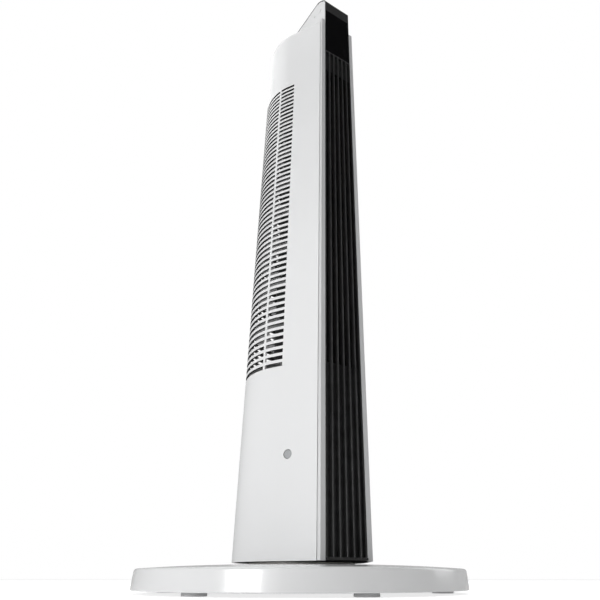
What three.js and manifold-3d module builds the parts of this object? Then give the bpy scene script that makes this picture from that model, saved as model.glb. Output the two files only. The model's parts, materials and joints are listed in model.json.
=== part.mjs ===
// Ceramic tower heater on a round base. Millimetres, +Z up, front facing -Y.
// The origin is the middle of the base, on the surface that the feet stand on.
// The tower turns on the base about Z; the fan wheel stands upright inside the tower.
import * as THREE from 'three';
import { mergeVertices } from 'three/addons/utils/BufferGeometryUtils.js';
import Module from 'manifold-3d';

const wasm = await Module();
wasm.setup();

// ---------------------------------------------------------------- driving dimensions
// Clearances
const GAP = 0.3; // between pieces that touch
const RUN = 0.6; // between pieces that turn on each other
const SCREW_FIT = 0.3; // radial room round a screw

// Base
const BASE_R = 140; // rim at its lower edge
const BASE_TAPER = 0.8; // how far the rim leans in up to its top
const FOOT_H = 2.6; // free height under the base
const RIM_TOP = 17.6; // height of the rim's top
const RIM_FILLET = 2;
const CROWN_TOP = 20.6; // height of the crowned top at its middle
const CROWN_FLAT_R = 50; // flat seat in the middle of the crown
const BASE_WALL = 2.4;
const BASE_PLATE_T = 2.2;
const FOOT_R = 9;
const FOOT_COUNT = 6;
const FOOT_EDGE = 21; // rim to the middle of a foot
const FOOT_PITCH_R = BASE_R - FOOT_EDGE;
const FOOT_START = 261; // degrees round Z of the first foot
const BALLAST_IN = 66;
const BALLAST_EDGE = 14; // rim to the ballast
const BALLAST_OUT = BASE_R - BALLAST_EDGE;
const BALLAST_T = 6;
const BOSS_R = 4;
const BOSS_PITCH_R = 55;
const BASE_SCREW_R = 1.3;
const SCREW_HEAD_R = 3;
const SCREW_HEAD_H = 1.3;

// Turntable and its drive
const NECK_OUT = 35.6;
const NECK_IN = 29.5;
const COLLAR_T = 2;
const WASHER_W = 8;
const KEEPER_OUT = 43;
const KEEPER_T = 2.2;
const GEAR_MODULE = 1;
const SUN_TEETH = 24;
const PINION_TEETH = 12;
const SUN_BORE = 5;
const GEAR_BACKLASH = 0.32;
const DRIVE_SHAFT_R = 2.5;
const DRIVE_CAN_R = 22;
const DRIVE_CAN_H = 16;

// Tower plan
const AXIS_TO_FRONT = 69.3; // turning axis to the front face
const FRONT_W = 50;
const SIDE_SPLAY = 31; // degrees that each side opens from straight back
const REAR_R = 59.4;
const WALL = 2;

// Tower heights
const TOWER_Z0 = 22.7;
const TOWER_Z1 = 697.3;
const TOP_ROUND = 8;
const FOOT_PLATE_T = 2.8;

// Intake slots
const SLOT_PITCH = 7;
const SLOT_H = 3.9;
const SLOT_Z0 = 188; // middle of the lowest row
const SLOT_DOWN = 117.3; // tower's top to the middle of the highest row
const SLOT_ROWS = Math.floor((TOWER_Z1 - SLOT_DOWN - SLOT_Z0) / SLOT_PITCH + 0.001) + 1;
const SLOT_START = 41; // along the side, from the front corner
const SLOT_FIRST_W = 20;
const SLOT_RIB = 2.5;
const REAR_SPINE_W = 17; // plain strip down the middle of the rear

// Front
const STRIP_W = 5;
const STRIP_T = 2.5;
const GRILLE_DOWN = 65.3; // tower's top to the top of the ribbed part
const GRILLE_Z1 = TOWER_Z1 - GRILLE_DOWN;
const OUTLET_Z0 = 186;
const OUTLET_DOWN = 36; // top of the ribbed part to the outlet
const OUTLET_Z1 = GRILLE_Z1 - OUTLET_DOWN;
const VANE_COUNT = 5;
const VANE_T = 1.3;
const VANE_PROUD = 1;
const VANE_DEPTH = 9;
const BACKING_SET = 3.8; // vane edge to the closed backing
const BACKING_T = 2;
const BAR_PITCH = 45.4;
const BAR_T = 1.2;
const NOSE_UP = 24.7; // tower's top to the seam of the nose
const NOSE_Z0 = TOWER_Z1 + NOSE_UP;

// Head
const HEAD_INSET = 4.1;
const HEAD_WALL = 1.8;
const HEAD_H = 50; // ridge above the tower's top
const RIDGE_W = 9.2; // front face to the top of the slope
const HEAD_LEN = 39; // front face to the foot of the slope
const NOSE_ROUND = 5.5; // front top edge
const RIDGE_ROUND = 6.2; // top of the slope
const PANEL_T = 1.1; // black skin down the slope
const NOSE_T = 2.2; // black cap over the ridge
const NOTCH_ALONG = 5.5;
const NOTCH_UP = 26;
const NOTCH_L = 8.6;
const NOTCH_TILT = 27;
const BUTTON_COUNT = 4;
const BUTTON_W = 11;
const BUTTON_L = 7;
const BUTTON_PITCH = 15;
const BUTTON_TRAVEL = 1.2;

// Screw covers on the sides
const COVER_R = 3.7;
const COVER_T = 1.9;
const COVER_ALONG = 31.8;
const COVER_Z = 104;
const SIDE_BOSS_R = 6;
const SIDE_BOSS_L = 7;

// Air path
const WHEEL_R = 28;
const WHEEL_Y = 2;
const WHEEL_Z0 = 193;
const WHEEL_SHORT = 6; // outlet's top to the wheel's top
const WHEEL_Z1 = OUTLET_Z1 - WHEEL_SHORT;
const WHEEL_BLADES = 14;
const WHEEL_DISCS = 3;
const WHEEL_DISC_T = 1.6;
const GUIDE_GAP = 3;
const GUIDE_T = 2;
const MOTOR_R = 27;
const MOTOR_H = 60;
const MOTOR_PLATE_T = 3;
const SHAFT_R = 3;
const RIB_PITCH = 48;
const RIB_UP = 5; // lowest row of slots to the lowest rib
const RIB_COUNT = Math.floor((TOWER_Z1 - SLOT_DOWN - SLOT_Z0 - RIB_UP) / RIB_PITCH) + 1;
const RIB_T = 1.8;
const RIB_IN_R = 39;
const HEATER_Y0 = -57;
const HEATER_Y1 = -38;
const HEATER_HALF_W = 19;
const HEATER_WALL = 3;

// ---------------------------------------------------------------- small tools
const rad = (degrees) => (degrees * Math.PI) / 180;
const polar = (radius, degrees) => [radius * Math.cos(rad(degrees)), radius * Math.sin(rad(degrees))];

// A solid from one or more closed three.js geometries.
function solid(geometry) {
  const bare = new THREE.BufferGeometry();
  bare.setAttribute('position', geometry.attributes.position.clone());
  if (geometry.index) bare.setIndex(geometry.index.clone());
  const welded = mergeVertices(bare, 1e-4);
  const index = Array.from(welded.index.array);
  const kept = [];
  for (let i = 0; i < index.length; i += 3) {
    const [a, b, c] = index.slice(i, i + 3);
    if (a !== b && b !== c && c !== a) kept.push(a, b, c);
  }
  const vertProperties = new Float32Array(welded.attributes.position.array);
  const make = (tris) =>
    new wasm.Manifold(new wasm.Mesh({ numProp: 3, vertProperties, triVerts: new Uint32Array(tris) }));
  const made = make(kept);
  if (made.volume() > 0) return made;
  const turned = [];
  for (let i = 0; i < kept.length; i += 3) turned.push(kept[i], kept[i + 2], kept[i + 1]);
  return make(turned);
}

function joined(parts) {
  return parts.reduce((sum, next) => sum.add(next));
}

function without(body, cutters) {
  return cutters.reduce((rest, cutter) => rest.subtract(cutter), body);
}

function box(x0, x1, y0, y1, z0, z1) {
  const block = new THREE.BoxGeometry(x1 - x0, y1 - y0, z1 - z0);
  block.translate((x0 + x1) / 2, (y0 + y1) / 2, (z0 + z1) / 2);
  return solid(block);
}

// An upright prism of a plan outline, given as [x, y] points.
function prism(points, z0, z1) {
  const shape = new THREE.Shape(points.map(([x, y]) => new THREE.Vector2(x, y)));
  const body = new THREE.ExtrudeGeometry(shape, { depth: z1 - z0, bevelEnabled: false });
  body.translate(0, 0, z0);
  return solid(body);
}

// A prism along X of a side outline, given as [y, z] points.
function sideways(points, x0, x1) {
  const shape = new THREE.Shape(points.map(([y, z]) => new THREE.Vector2(y, z)));
  const body = new THREE.ExtrudeGeometry(shape, { depth: x1 - x0, bevelEnabled: false });
  const place = new THREE.Matrix4().makeBasis(
    new THREE.Vector3(0, 1, 0),
    new THREE.Vector3(0, 0, 1),
    new THREE.Vector3(1, 0, 0),
  );
  body.applyMatrix4(place);
  body.translate(x0, 0, 0);
  return solid(body);
}

function rod(x, y, radius, z0, z1, sides = 24) {
  const body = new THREE.CylinderGeometry(radius, radius, z1 - z0, sides);
  body.rotateX(Math.PI / 2);
  body.translate(x, y, (z0 + z1) / 2);
  return solid(body);
}

// A solid of revolution about Z from a closed [radius, z] profile.
function turned(profile, sides = 36) {
  const loop = [...profile, profile[0]].map(([r, z]) => new THREE.Vector2(r, z));
  const body = new THREE.LatheGeometry(loop, sides);
  body.rotateX(Math.PI / 2);
  return solid(body);
}

function ring(rIn, rOut, z0, z1, sides = 36) {
  return turned([[rIn, z0], [rOut, z0], [rOut, z1], [rIn, z1]], sides);
}

function mesh(name, body, material) {
  const data = body.getMesh();
  const geometry = new THREE.BufferGeometry();
  geometry.setAttribute('position', new THREE.Float32BufferAttribute(data.vertProperties, 3));
  geometry.setIndex(Array.from(data.triVerts));
  geometry.computeVertexNormals();
  const made = new THREE.Mesh(geometry, material);
  made.name = name;
  return made;
}

// ---------------------------------------------------------------- materials
const paint = (color, roughness, metalness = 0) =>
  new THREE.MeshStandardMaterial({ color, roughness, metalness });
const WHITE = paint(0xe9eaec, 0.35);
const WHITE_GLOSS = paint(0xf0f1f2, 0.2);
const SILVER = paint(0xa9abae, 0.38, 0.6);
const BLACK = paint(0x1c1c1e, 0.45);
const BLACK_GLOSS = paint(0x08080a, 0.08);
const GREY = paint(0x8b8d90, 0.5);
const INNER_BLACK = paint(0x141416, 0.6);
const RUBBER = paint(0x9a9b9c, 0.9);
const STEEL = paint(0x8f9296, 0.4, 0.9);
const ZINC = paint(0xa7aaad, 0.35, 0.9);
const ACETAL = paint(0xe4e2da, 0.5);
const CERAMIC = paint(0xb9b0a2, 0.7);
const BOARD = paint(0x1f5a36, 0.55);

// ---------------------------------------------------------------- tower plan
// Each side runs from the front corner straight back at the splay angle and then goes
// round the rear arc. 'along' is measured from the front corner, 'inset' inwards.
const splay = rad(SIDE_SPLAY);
const frontY = -AXIS_TO_FRONT;
const rearCentreY = frontY + (REAR_R - (FRONT_W / 2) * Math.cos(splay)) / Math.sin(splay);
const flatLength = (rearCentreY - REAR_R * Math.sin(splay) - frontY) / Math.cos(splay);
const arcStart = 180 + SIDE_SPLAY;

// The point on the left side (hand -1) or the right side (hand 1).
function sidePoint(along, inset, hand) {
  if (along <= flatLength) {
    const x = FRONT_W / 2 + along * Math.sin(splay) - inset * Math.cos(splay);
    return [hand * x, frontY + along * Math.cos(splay) + inset * Math.sin(splay)];
  }
  const turn = rad(arcStart) - (along - flatLength) / REAR_R;
  const radius = REAR_R - inset;
  return [-hand * radius * Math.cos(turn), rearCentreY + radius * Math.sin(turn)];
}

// Front and back edges of the grille's vanes.
const vaneFront = frontY - VANE_PROUD;
const vaneBack = frontY + VANE_DEPTH;

// Columns of slots on each side: a short one, then two long ones up to the rear spine.
const rearMiddle = flatLength + (REAR_R * Math.PI * (90 + SIDE_SPLAY)) / 180;
const longStart = SLOT_START + SLOT_FIRST_W + SLOT_RIB;
const longWidth = (rearMiddle - REAR_SPINE_W / 2 - longStart - SLOT_RIB) / 2;
const slotColumns = [
  [SLOT_START, SLOT_START + SLOT_FIRST_W],
  [longStart, longStart + longWidth],
  [longStart + longWidth + SLOT_RIB, longStart + 2 * longWidth + SLOT_RIB],
];

// The plan is faceted where the columns begin, end and have their middles.
const arcStops = [
  SLOT_START - SLOT_RIB / 2,
  ...slotColumns.slice(1).flatMap(([from, to]) => [from - SLOT_RIB / 2, (from + to) / 2]),
  rearMiddle - REAR_SPINE_W / 2 + SLOT_RIB / 2,
];

// The closed plan outline, inset all round, with its front edge at y = front.
function outline(inset, front = frontY) {
  const cornerX = FRONT_W / 2 + ((front - frontY) * Math.sin(splay) - inset) / Math.cos(splay);
  const right = arcStops.map((along) => sidePoint(along, inset, 1));
  const left = arcStops.map((along) => sidePoint(along, inset, -1)).reverse();
  return [[-cornerX, front], [cornerX, front], ...right, ...left];
}

// A frame on the side wall: x out of the wall, z up.
function onSide(body, along, z, hand) {
  const [x, y] = sidePoint(along, 0, hand);
  const angle = hand < 0 ? arcStart : -SIDE_SPLAY;
  return body.rotate([0, 0, angle]).translate([x, y, z]);
}

// A round bar pointing out of the side wall; depths are measured inwards from the face.
function sideRod(radius, depth0, depth1, along, z, hand, sides = 20) {
  const bar = new THREE.CylinderGeometry(radius, radius, depth1 - depth0, sides);
  bar.rotateZ(Math.PI / 2);
  bar.translate(-(depth0 + depth1) / 2, 0, 0);
  return onSide(solid(bar), along, z, hand);
}

const tower = [];
const base = [];

// ---------------------------------------------------------------- base
const rimR = BASE_R - BASE_TAPER;
const coverBottom = FOOT_H;
const plateZ0 = FOOT_H + GAP;
const plateZ1 = plateZ0 + BASE_PLATE_T;
const collarIn = NECK_OUT + RUN;
const collarOut = collarIn + COLLAR_T;
const keeperZ1 = plateZ1 + GAP + SCREW_HEAD_H + GAP + KEEPER_T;
const collarZ0 = keeperZ1 + RUN;

// The crown falls from its flat middle to the rim along a parabola.
function crownZ(r) {
  const share = Math.max(0, (r - CROWN_FLAT_R) / (rimR - RIM_FILLET - CROWN_FLAT_R));
  return CROWN_TOP - (CROWN_TOP - RIM_TOP) * share * share;
}

function crown(drop, r0, r1, steps) {
  const points = [];
  for (let k = 0; k <= steps; k += 1) {
    const r = r0 + ((r1 - r0) * k) / steps;
    points.push([r, crownZ(r) - drop]);
  }
  return points;
}

const bossAngles = [45, 135, 225, 315];
const inletZ = (coverBottom + RIM_TOP) / 2;
const inletBore = 2.4;
const inletR = 3.9;
const inletFlangeR = 5.2;
const rimAtInlet = BASE_R - (BASE_TAPER * (inletZ - coverBottom)) / (RIM_TOP - coverBottom);

function alongY(radius, y0, y1, z, sides = 20) {
  const bar = new THREE.CylinderGeometry(radius, radius, y1 - y0, sides);
  bar.translate(0, (y0 + y1) / 2, z);
  return solid(bar);
}

function makeBaseCover() {
  const lip = rimR - RIM_FILLET;
  const profile = [
    [BASE_R, coverBottom],
    [rimR, RIM_TOP - RIM_FILLET],
    [rimR - RIM_FILLET * 0.3, RIM_TOP - RIM_FILLET * 0.3],
    ...crown(0, lip, CROWN_FLAT_R, 3),
    [collarIn, CROWN_TOP],
    [collarIn, collarZ0],
    [collarOut, collarZ0],
    [collarOut, CROWN_TOP - BASE_WALL],
    ...crown(BASE_WALL, CROWN_FLAT_R, lip - BASE_WALL * 0.4, 2),
    [rimR - BASE_WALL, RIM_TOP - RIM_FILLET - BASE_WALL * 0.4],
    [BASE_R - BASE_WALL, coverBottom],
  ];
  const bosses = bossAngles.map((degrees) => {
    const [x, y] = polar(BOSS_PITCH_R, degrees);
    return rod(x, y, BOSS_R, plateZ1 + GAP, CROWN_TOP - BASE_WALL / 2, 16);
  });
  const holes = bossAngles.map((degrees) => {
    const [x, y] = polar(BOSS_PITCH_R, degrees);
    return rod(x, y, BASE_SCREW_R + SCREW_FIT, plateZ1, CROWN_TOP - BASE_WALL * 1.5, 12);
  });
  const inlet = alongY(inletR + GAP, rimAtInlet - 12, BASE_R + 5, inletZ);
  const recess = alongY(inletFlangeR + GAP, rimAtInlet, BASE_R + 5, inletZ);
  return without(joined([turned(profile), ...bosses]), [...holes, inlet, recess]);
}

const switchY = 54;
const plungerR = 2.2;
const switchW = 15;

function makeBasePlate() {
  const plate = turned([[0, plateZ0], [BASE_R - BASE_WALL - 1, plateZ0],
    [BASE_R - BASE_WALL - 1 - BASE_TAPER * 0.2, plateZ1], [0, plateZ1]]);
  const holes = bossAngles.map((degrees) => {
    const [x, y] = polar(BOSS_PITCH_R, degrees);
    return rod(x, y, BASE_SCREW_R + SCREW_FIT, plateZ0 - 1, plateZ1 + 1, 12);
  });
  return without(plate, [...holes, rod(0, switchY, plungerR + GAP, plateZ0 - 1, plateZ1 + 1, 16)]);
}

base.push(mesh('base_cover', makeBaseCover(), WHITE_GLOSS));
base.push(mesh('base_plate', makeBasePlate(), WHITE));
base.push(mesh('ballast_ring',
  ring(BALLAST_IN, BALLAST_OUT, plateZ1 + GAP, plateZ1 + GAP + BALLAST_T, 40), STEEL));
for (let k = 0; k < FOOT_COUNT; k += 1) {
  const [x, y] = polar(FOOT_PITCH_R, FOOT_START + (k * 360) / FOOT_COUNT);
  base.push(mesh(`foot_pad_${k + 1}`, rod(x, y, FOOT_R, 0, FOOT_H, 20), RUBBER));
}
bossAngles.forEach((degrees, k) => {
  const [x, y] = polar(BOSS_PITCH_R, degrees);
  const head = rod(x, y, SCREW_HEAD_R, plateZ0 - GAP - SCREW_HEAD_H, plateZ0 - GAP, 12);
  const shank = rod(x, y, BASE_SCREW_R, plateZ0 - GAP * 2, CROWN_TOP - BASE_WALL * 2, 10);
  base.push(mesh(`base_screw_${k + 1}`, head.add(shank), ZINC));
});

// Cord inlet: a flanged bushing in the rear of the rim.
function makeInlet() {
  const flange = alongY(inletFlangeR, rimAtInlet + GAP, rimAtInlet + GAP + 1.6, inletZ);
  const sleeve = alongY(inletR, rimAtInlet - 9, rimAtInlet + 1, inletZ);
  return flange.add(sleeve).subtract(alongY(inletBore, rimAtInlet - 12, BASE_R + 5, inletZ, 12));
}
base.push(mesh('cord_inlet_bushing', makeInlet(), GREY));

// Tip-over switch: its plunger is held up by the floor while the heater stands.
const switchTop = crownZ(switchY) - BASE_WALL - GAP;
const switchBody = box(-switchW / 2, switchW / 2, switchY - 6, switchY + 6, plateZ1 + GAP, switchTop)
  .subtract(rod(0, switchY, plungerR + GAP, plateZ1 - 1, switchTop - 1.4, 16));
base.push(mesh('tip_switch_body', switchBody, INNER_BLACK));
const plunger = mesh('tip_switch_plunger', rod(0, switchY, plungerR, 0, switchTop - 4.4, 16), GREY);

// ---------------------------------------------------------------- turntable and its drive
const washerZ0 = CROWN_TOP + GAP;
const footZ0 = TOWER_Z0;
const footZ1 = footZ0 + FOOT_PLATE_T;
const innerFront = frontY + STRIP_T + GAP;
const fitInside = WALL + GAP + 0.1;
const gearCentre = (GEAR_MODULE * (SUN_TEETH + PINION_TEETH)) / 2;
const gearZ0 = plateZ1 + GAP;
const gearZ1 = footZ0 - 9;
const keeperScrewR = (NECK_IN + NECK_OUT) / 2;
const keeperAngles = [30, 150, 270];
const keeperZ0 = keeperZ1 - KEEPER_T;

base.push(mesh('thrust_washer',
  ring(collarOut + 0.4, collarOut + 0.4 + WASHER_W, washerZ0, footZ0 - GAP), ACETAL));

// A spur gear outline: straight-flanked teeth, thinned by the backlash.
function gearOutline(teeth, phase) {
  const pitchR = (GEAR_MODULE * teeth) / 2;
  const levels = [
    [pitchR - 1.15 * GEAR_MODULE, 1.0],
    [pitchR + 0.3 * GEAR_MODULE, 0.66],
    [pitchR + 0.85 * GEAR_MODULE, 0.36],
  ];
  const points = [];
  for (let k = 0; k < teeth; k += 1) {
    const middle = phase + (k * 360) / teeth;
    const flank = levels.map(([r, half]) => {
      const width = half * GEAR_MODULE - GEAR_BACKLASH / 2;
      return [r, ((width / r) * 180) / Math.PI];
    });
    flank.forEach(([r, turn]) => points.push(polar(r, middle - turn)));
    [...flank].reverse().forEach(([r, turn]) => points.push(polar(r, middle + turn)));
  }
  return points;
}

const sunGear = prism(gearOutline(SUN_TEETH, 90), gearZ0, gearZ1)
  .subtract(rod(0, 0, SUN_BORE, gearZ0 - 1, gearZ1 + 1, 16));
base.push(mesh('sun_gear', sunGear, ACETAL));

const pinionPhase = 270 + 180 / PINION_TEETH;
const pinionTeeth = gearOutline(PINION_TEETH, pinionPhase).map(([x, y]) => [x, y + gearCentre]);
const pinionSolid = prism(pinionTeeth, gearZ0 + 1, gearZ1 + 0.5)
  .add(rod(0, gearCentre, DRIVE_SHAFT_R, gearZ1, footZ1 + 5, 14));
const pinion = mesh('drive_pinion', pinionSolid, ACETAL);

function makeTowerFoot() {
  const plate = prism(outline(fitInside, vaneBack + GAP), footZ0, footZ1);
  const neck = ring(NECK_IN, NECK_OUT, keeperZ1 + GAP, footZ0 + 0.5);
  const screwHoles = keeperAngles.map((degrees) => {
    const [x, y] = polar(keeperScrewR, degrees);
    return rod(x, y, BASE_SCREW_R + SCREW_FIT, keeperZ1 - 1, footZ0 - 2, 10);
  });
  const shaftHole = rod(0, gearCentre, DRIVE_SHAFT_R + 3, footZ0 - 1, footZ1 + 1, 16);
  const wireHole = rod(0, -gearCentre / 2, 8, footZ0 - 1, footZ1 + 1, 16);
  return without(plate.add(neck), [...screwHoles, shaftHole, wireHole]);
}
tower.push(mesh('tower_foot', makeTowerFoot(), INNER_BLACK));

const keeperHoles = keeperAngles.map((degrees) => {
  const [x, y] = polar(keeperScrewR, degrees);
  return rod(x, y, BASE_SCREW_R + SCREW_FIT, keeperZ0 - 1, keeperZ1 + 1, 10);
});
tower.push(mesh('keeper_ring', without(ring(NECK_IN - 3, KEEPER_OUT, keeperZ0, keeperZ1), keeperHoles), ZINC));
keeperAngles.forEach((degrees, k) => {
  const [x, y] = polar(keeperScrewR, degrees);
  const head = rod(x, y, SCREW_HEAD_R * 0.9, keeperZ0 - GAP - SCREW_HEAD_H, keeperZ0 - GAP, 12);
  const shank = rod(x, y, BASE_SCREW_R, keeperZ0 - GAP * 2, footZ0 - 3, 10);
  tower.push(mesh(`keeper_screw_${k + 1}`, head.add(shank), ZINC));
});

const driveZ0 = footZ1 + GAP;
const driveMotor = rod(0, gearCentre, DRIVE_CAN_R, driveZ0, driveZ0 + DRIVE_CAN_H, 32)
  .add(box(-DRIVE_CAN_R - 7, DRIVE_CAN_R + 7, gearCentre - 5, gearCentre + 5, driveZ0, driveZ0 + 1.5))
  .subtract(rod(0, gearCentre, DRIVE_SHAFT_R + GAP, driveZ0 - 1, footZ1 + 6, 14));
tower.push(mesh('swing_motor', driveMotor, ZINC));

// ---------------------------------------------------------------- casing
// A straight-walled shell with a rounded top edge. 'front' is left open.
function towerBlock(inset, z0, z1, round) {
  const ahead = frontY - 3 * TOP_ROUND;
  const straight = prism(outline(inset, ahead), z0, z1 - 2 * round);
  const shape = new THREE.Shape(outline(inset, ahead).map(([x, y]) => new THREE.Vector2(x, y)));
  const cap = new THREE.ExtrudeGeometry(shape, {
    depth: round * 2,
    bevelThickness: round,
    bevelSize: round,
    bevelOffset: -round,
    bevelSegments: 3,
  });
  cap.translate(0, 0, z1 - 3 * round);
  return straight.add(solid(cap));
}

// All rows of one column of slots.
function slotCutter([along0, along1], hand) {
  const steps = 3;
  const points = [];
  for (let k = 0; k <= steps; k += 1) {
    points.push(sidePoint(along0 + ((along1 - along0) * k) / steps, -3, hand));
  }
  for (let k = steps; k >= 0; k -= 1) {
    points.push(sidePoint(along0 + ((along1 - along0) * k) / steps, WALL + 3, hand));
  }
  const rows = [];
  for (let row = 0; row < SLOT_ROWS; row += 1) {
    const middle = SLOT_Z0 + row * SLOT_PITCH;
    rows.push(prism(points, middle - SLOT_H / 2, middle + SLOT_H / 2));
  }
  return joined(rows);
}

const headBackY = frontY + HEAD_LEN;
const innerTop = TOWER_Z1 - WALL;

function makeCasing() {
  const outer = towerBlock(0, TOWER_Z0, TOWER_Z1, TOP_ROUND);
  const inner = towerBlock(WALL, TOWER_Z0 - 5, innerTop, TOP_ROUND - WALL);
  const trim = box(-200, 200, frontY - 100, innerFront, TOWER_Z0 - 10, TOWER_Z1 + 10);
  const bosses = [-1, 1].map((hand) => sideRod(SIDE_BOSS_R, WALL / 2, SIDE_BOSS_L, COVER_ALONG, COVER_Z, hand));
  const pockets = [-1, 1].flatMap((hand) => [
    sideRod(COVER_R + GAP, -2, SIDE_BOSS_L - 2, COVER_ALONG, COVER_Z, hand),
    sideRod(BASE_SCREW_R + SCREW_FIT, 0, SIDE_BOSS_L + 2, COVER_ALONG, COVER_Z, hand, 10),
  ]);
  const slots = slotColumns.flatMap((column) => [-1, 1].map((hand) => slotCutter(column, hand)));
  const wireWay = box(-14, 14, frontY + 8, headBackY - 8, innerTop - 5, TOWER_Z1 + 5);
  return without(joined([outer.subtract(inner), ...bosses]), [trim, wireWay, ...pockets, ...slots]);
}
tower.push(mesh('casing', makeCasing(), WHITE));

for (const [side, hand] of [['left', -1], ['right', 1]]) {
  tower.push(mesh(`screw_cover_${side}`, sideRod(COVER_R, 0.1, COVER_T, COVER_ALONG, COVER_Z, hand), GREY));
  const head = sideRod(SCREW_HEAD_R, COVER_T + GAP, SIDE_BOSS_L - 2 - GAP, COVER_ALONG, COVER_Z, hand, 12);
  const shank = sideRod(BASE_SCREW_R, SIDE_BOSS_L - 3, SIDE_BOSS_L + 9, COVER_ALONG, COVER_Z, hand, 10);
  tower.push(mesh(`casing_screw_${side}`, head.add(shank), ZINC));
}

// Silver strips down both edges of the front.
const stripInX = FRONT_W / 2 - STRIP_W + 0.15;
for (const [side, hand] of [['left', -1], ['right', 1]]) {
  const backX = FRONT_W / 2 + STRIP_T * Math.tan(splay);
  const plan = [
    [hand * (FRONT_W / 2), frontY],
    [hand * backX, frontY + STRIP_T],
    [hand * stripInX, frontY + STRIP_T],
    [hand * stripInX, frontY],
  ];
  tower.push(mesh(`trim_strip_${side}`, prism(hand > 0 ? plan : plan.reverse(), TOWER_Z0, TOWER_Z1), SILVER));
}

// ---------------------------------------------------------------- front grille and window
const panelHalfW = stripInX - GAP;
const vanePitch = (2 * panelHalfW) / (VANE_COUNT + 1);
const grilleZ0 = TOWER_Z0 + 0.5;

function makeGrille() {
  const parts = [];
  for (let k = 1; k <= VANE_COUNT; k += 1) {
    const x = -panelHalfW + k * vanePitch;
    parts.push(box(x - VANE_T / 2, x + VANE_T / 2, vaneFront, vaneBack, grilleZ0 + 1, GRILLE_Z1 - 1));
  }
  for (const hand of [-1, 1]) {
    const x = hand * (panelHalfW - VANE_T / 2);
    parts.push(box(x - VANE_T / 2, x + VANE_T / 2, frontY, vaneBack, grilleZ0, GRILLE_Z1));
  }
  const backing = vaneFront + BACKING_SET;
  parts.push(box(-panelHalfW, panelHalfW, backing, backing + BACKING_T, grilleZ0, OUTLET_Z0));
  parts.push(box(-panelHalfW, panelHalfW, backing, backing + BACKING_T, OUTLET_Z1, GRILLE_Z1));
  parts.push(box(-panelHalfW, panelHalfW, vaneFront, vaneBack, grilleZ0, grilleZ0 + 2));
  parts.push(box(-panelHalfW, panelHalfW, frontY, vaneBack, GRILLE_Z1 - 2, GRILLE_Z1));
  const barCount = Math.floor((OUTLET_Z1 - OUTLET_Z0 - 10) / BAR_PITCH);
  for (let k = 1; k <= barCount; k += 1) {
    const z = OUTLET_Z0 - 4 + k * BAR_PITCH;
    parts.push(box(-panelHalfW + 1, panelHalfW - 1, vaneBack - 2.4, vaneBack - 1, z, z + BAR_T));
  }
  return joined(parts);
}
tower.push(mesh('front_grille', makeGrille(), BLACK));

// The window and the nose are mitred into the head's side walls.
const mitre = STRIP_T * 0.55;
function facePlan(grow) {
  const front = frontY - grow * 2;
  const back = frontY + STRIP_T + grow;
  const halfFront = panelHalfW + grow;
  return [[-halfFront, front], [halfFront, front], [halfFront - mitre, back], [-halfFront + mitre, back]];
}
tower.push(mesh('front_window', prism(facePlan(0), GRILLE_Z1 + GAP, NOSE_Z0 - GAP), BLACK_GLOSS));

const displayBoard = box(-15, 15, frontY + 6, frontY + 7.6, GRILLE_Z1 + 15, GRILLE_Z1 + 55)
  .add(box(-12, 12, frontY + 3.2, frontY + 6.5, GRILLE_Z1 + 25, GRILLE_Z1 + 43));
tower.push(mesh('display_board', displayBoard, BOARD));

// ---------------------------------------------------------------- head
// Side outline of the head, [y, z], lowered and set back by 'inset' all round. The front face
// may be set back by less, up to the foot of its rounded top edge.
const ridgeZ = TOWER_Z1 + HEAD_H;
const slopeRun = HEAD_LEN - RIDGE_W;
const slopeAngle = Math.atan2(HEAD_H, slopeRun);

function headProfile(inset, bottom, frontInset = inset) {
  const top = ridgeZ - inset;
  const noseR = NOSE_ROUND - inset;
  const tan = Math.tan(slopeAngle);
  const reach = inset / Math.sin(slopeAngle); // the slope moves forward by this much
  const slopeTopY = frontY + RIDGE_W - reach + inset / tan;
  const flat = slopeTopY - frontY - NOSE_ROUND - 0.05; // room behind the nose for the rounding
  const r = Math.min(Math.max(0.8, RIDGE_ROUND - inset), flat / Math.tan(slopeAngle / 2));
  const points = [[frontY + frontInset, bottom]];
  if (frontInset < inset) points.push([frontY + frontInset, ridgeZ - NOSE_ROUND]);
  for (const degrees of [180, 157.5, 135, 112.5, 90]) {
    const [y, z] = polar(noseR, degrees);
    points.push([frontY + NOSE_ROUND + y, ridgeZ - NOSE_ROUND + z]);
  }
  const back = r * Math.tan(slopeAngle / 2); // tangent length of the rear corner
  const turnCentre = slopeTopY - back;
  for (const share of [0, 0.5, 1]) {
    const angle = Math.PI / 2 - share * slopeAngle;
    points.push([turnCentre + r * Math.cos(angle), top - r + r * Math.sin(angle)]);
  }
  points.push([slopeTopY + (top - bottom) / tan, bottom]);
  return points;
}

const headZ0 = TOWER_Z1 + GAP;
function headBlock(planInset, profileInset, bottom, frontInset = profileInset) {
  const column = prism(outline(planInset, frontY - 1), bottom, ridgeZ + 5);
  return column.intersect(sideways(headProfile(profileInset, bottom - 5, frontInset), -80, 80));
}

// The black skin that lies over the ridge and down the slope, split behind the ridge.
const splitY = frontY + RIDGE_W + 1;
const wholeHead = headBlock(HEAD_INSET, 0, headZ0);
const underSkin = headBlock(HEAD_INSET - 1, PANEL_T, headZ0 - 10);
const underNose = headBlock(HEAD_INSET - 1, NOSE_T, headZ0 - 10);
const skinFootZ = ridgeZ - NOSE_ROUND * 0.6; // where the skin ends on the front
const skin = wholeHead.subtract(underSkin);
const noseSkin = wholeHead.subtract(underNose)
  .subtract(box(-60, 60, frontY - 5, frontY + NOSE_ROUND / 2, 0, skinFootZ));
const behindSplit = box(-80, 80, splitY + GAP / 2, 80, 0, ridgeZ + 20);
const beforeSplit = box(-80, 80, frontY - 20, splitY - GAP / 2, 0, ridgeZ + 20);

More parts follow.
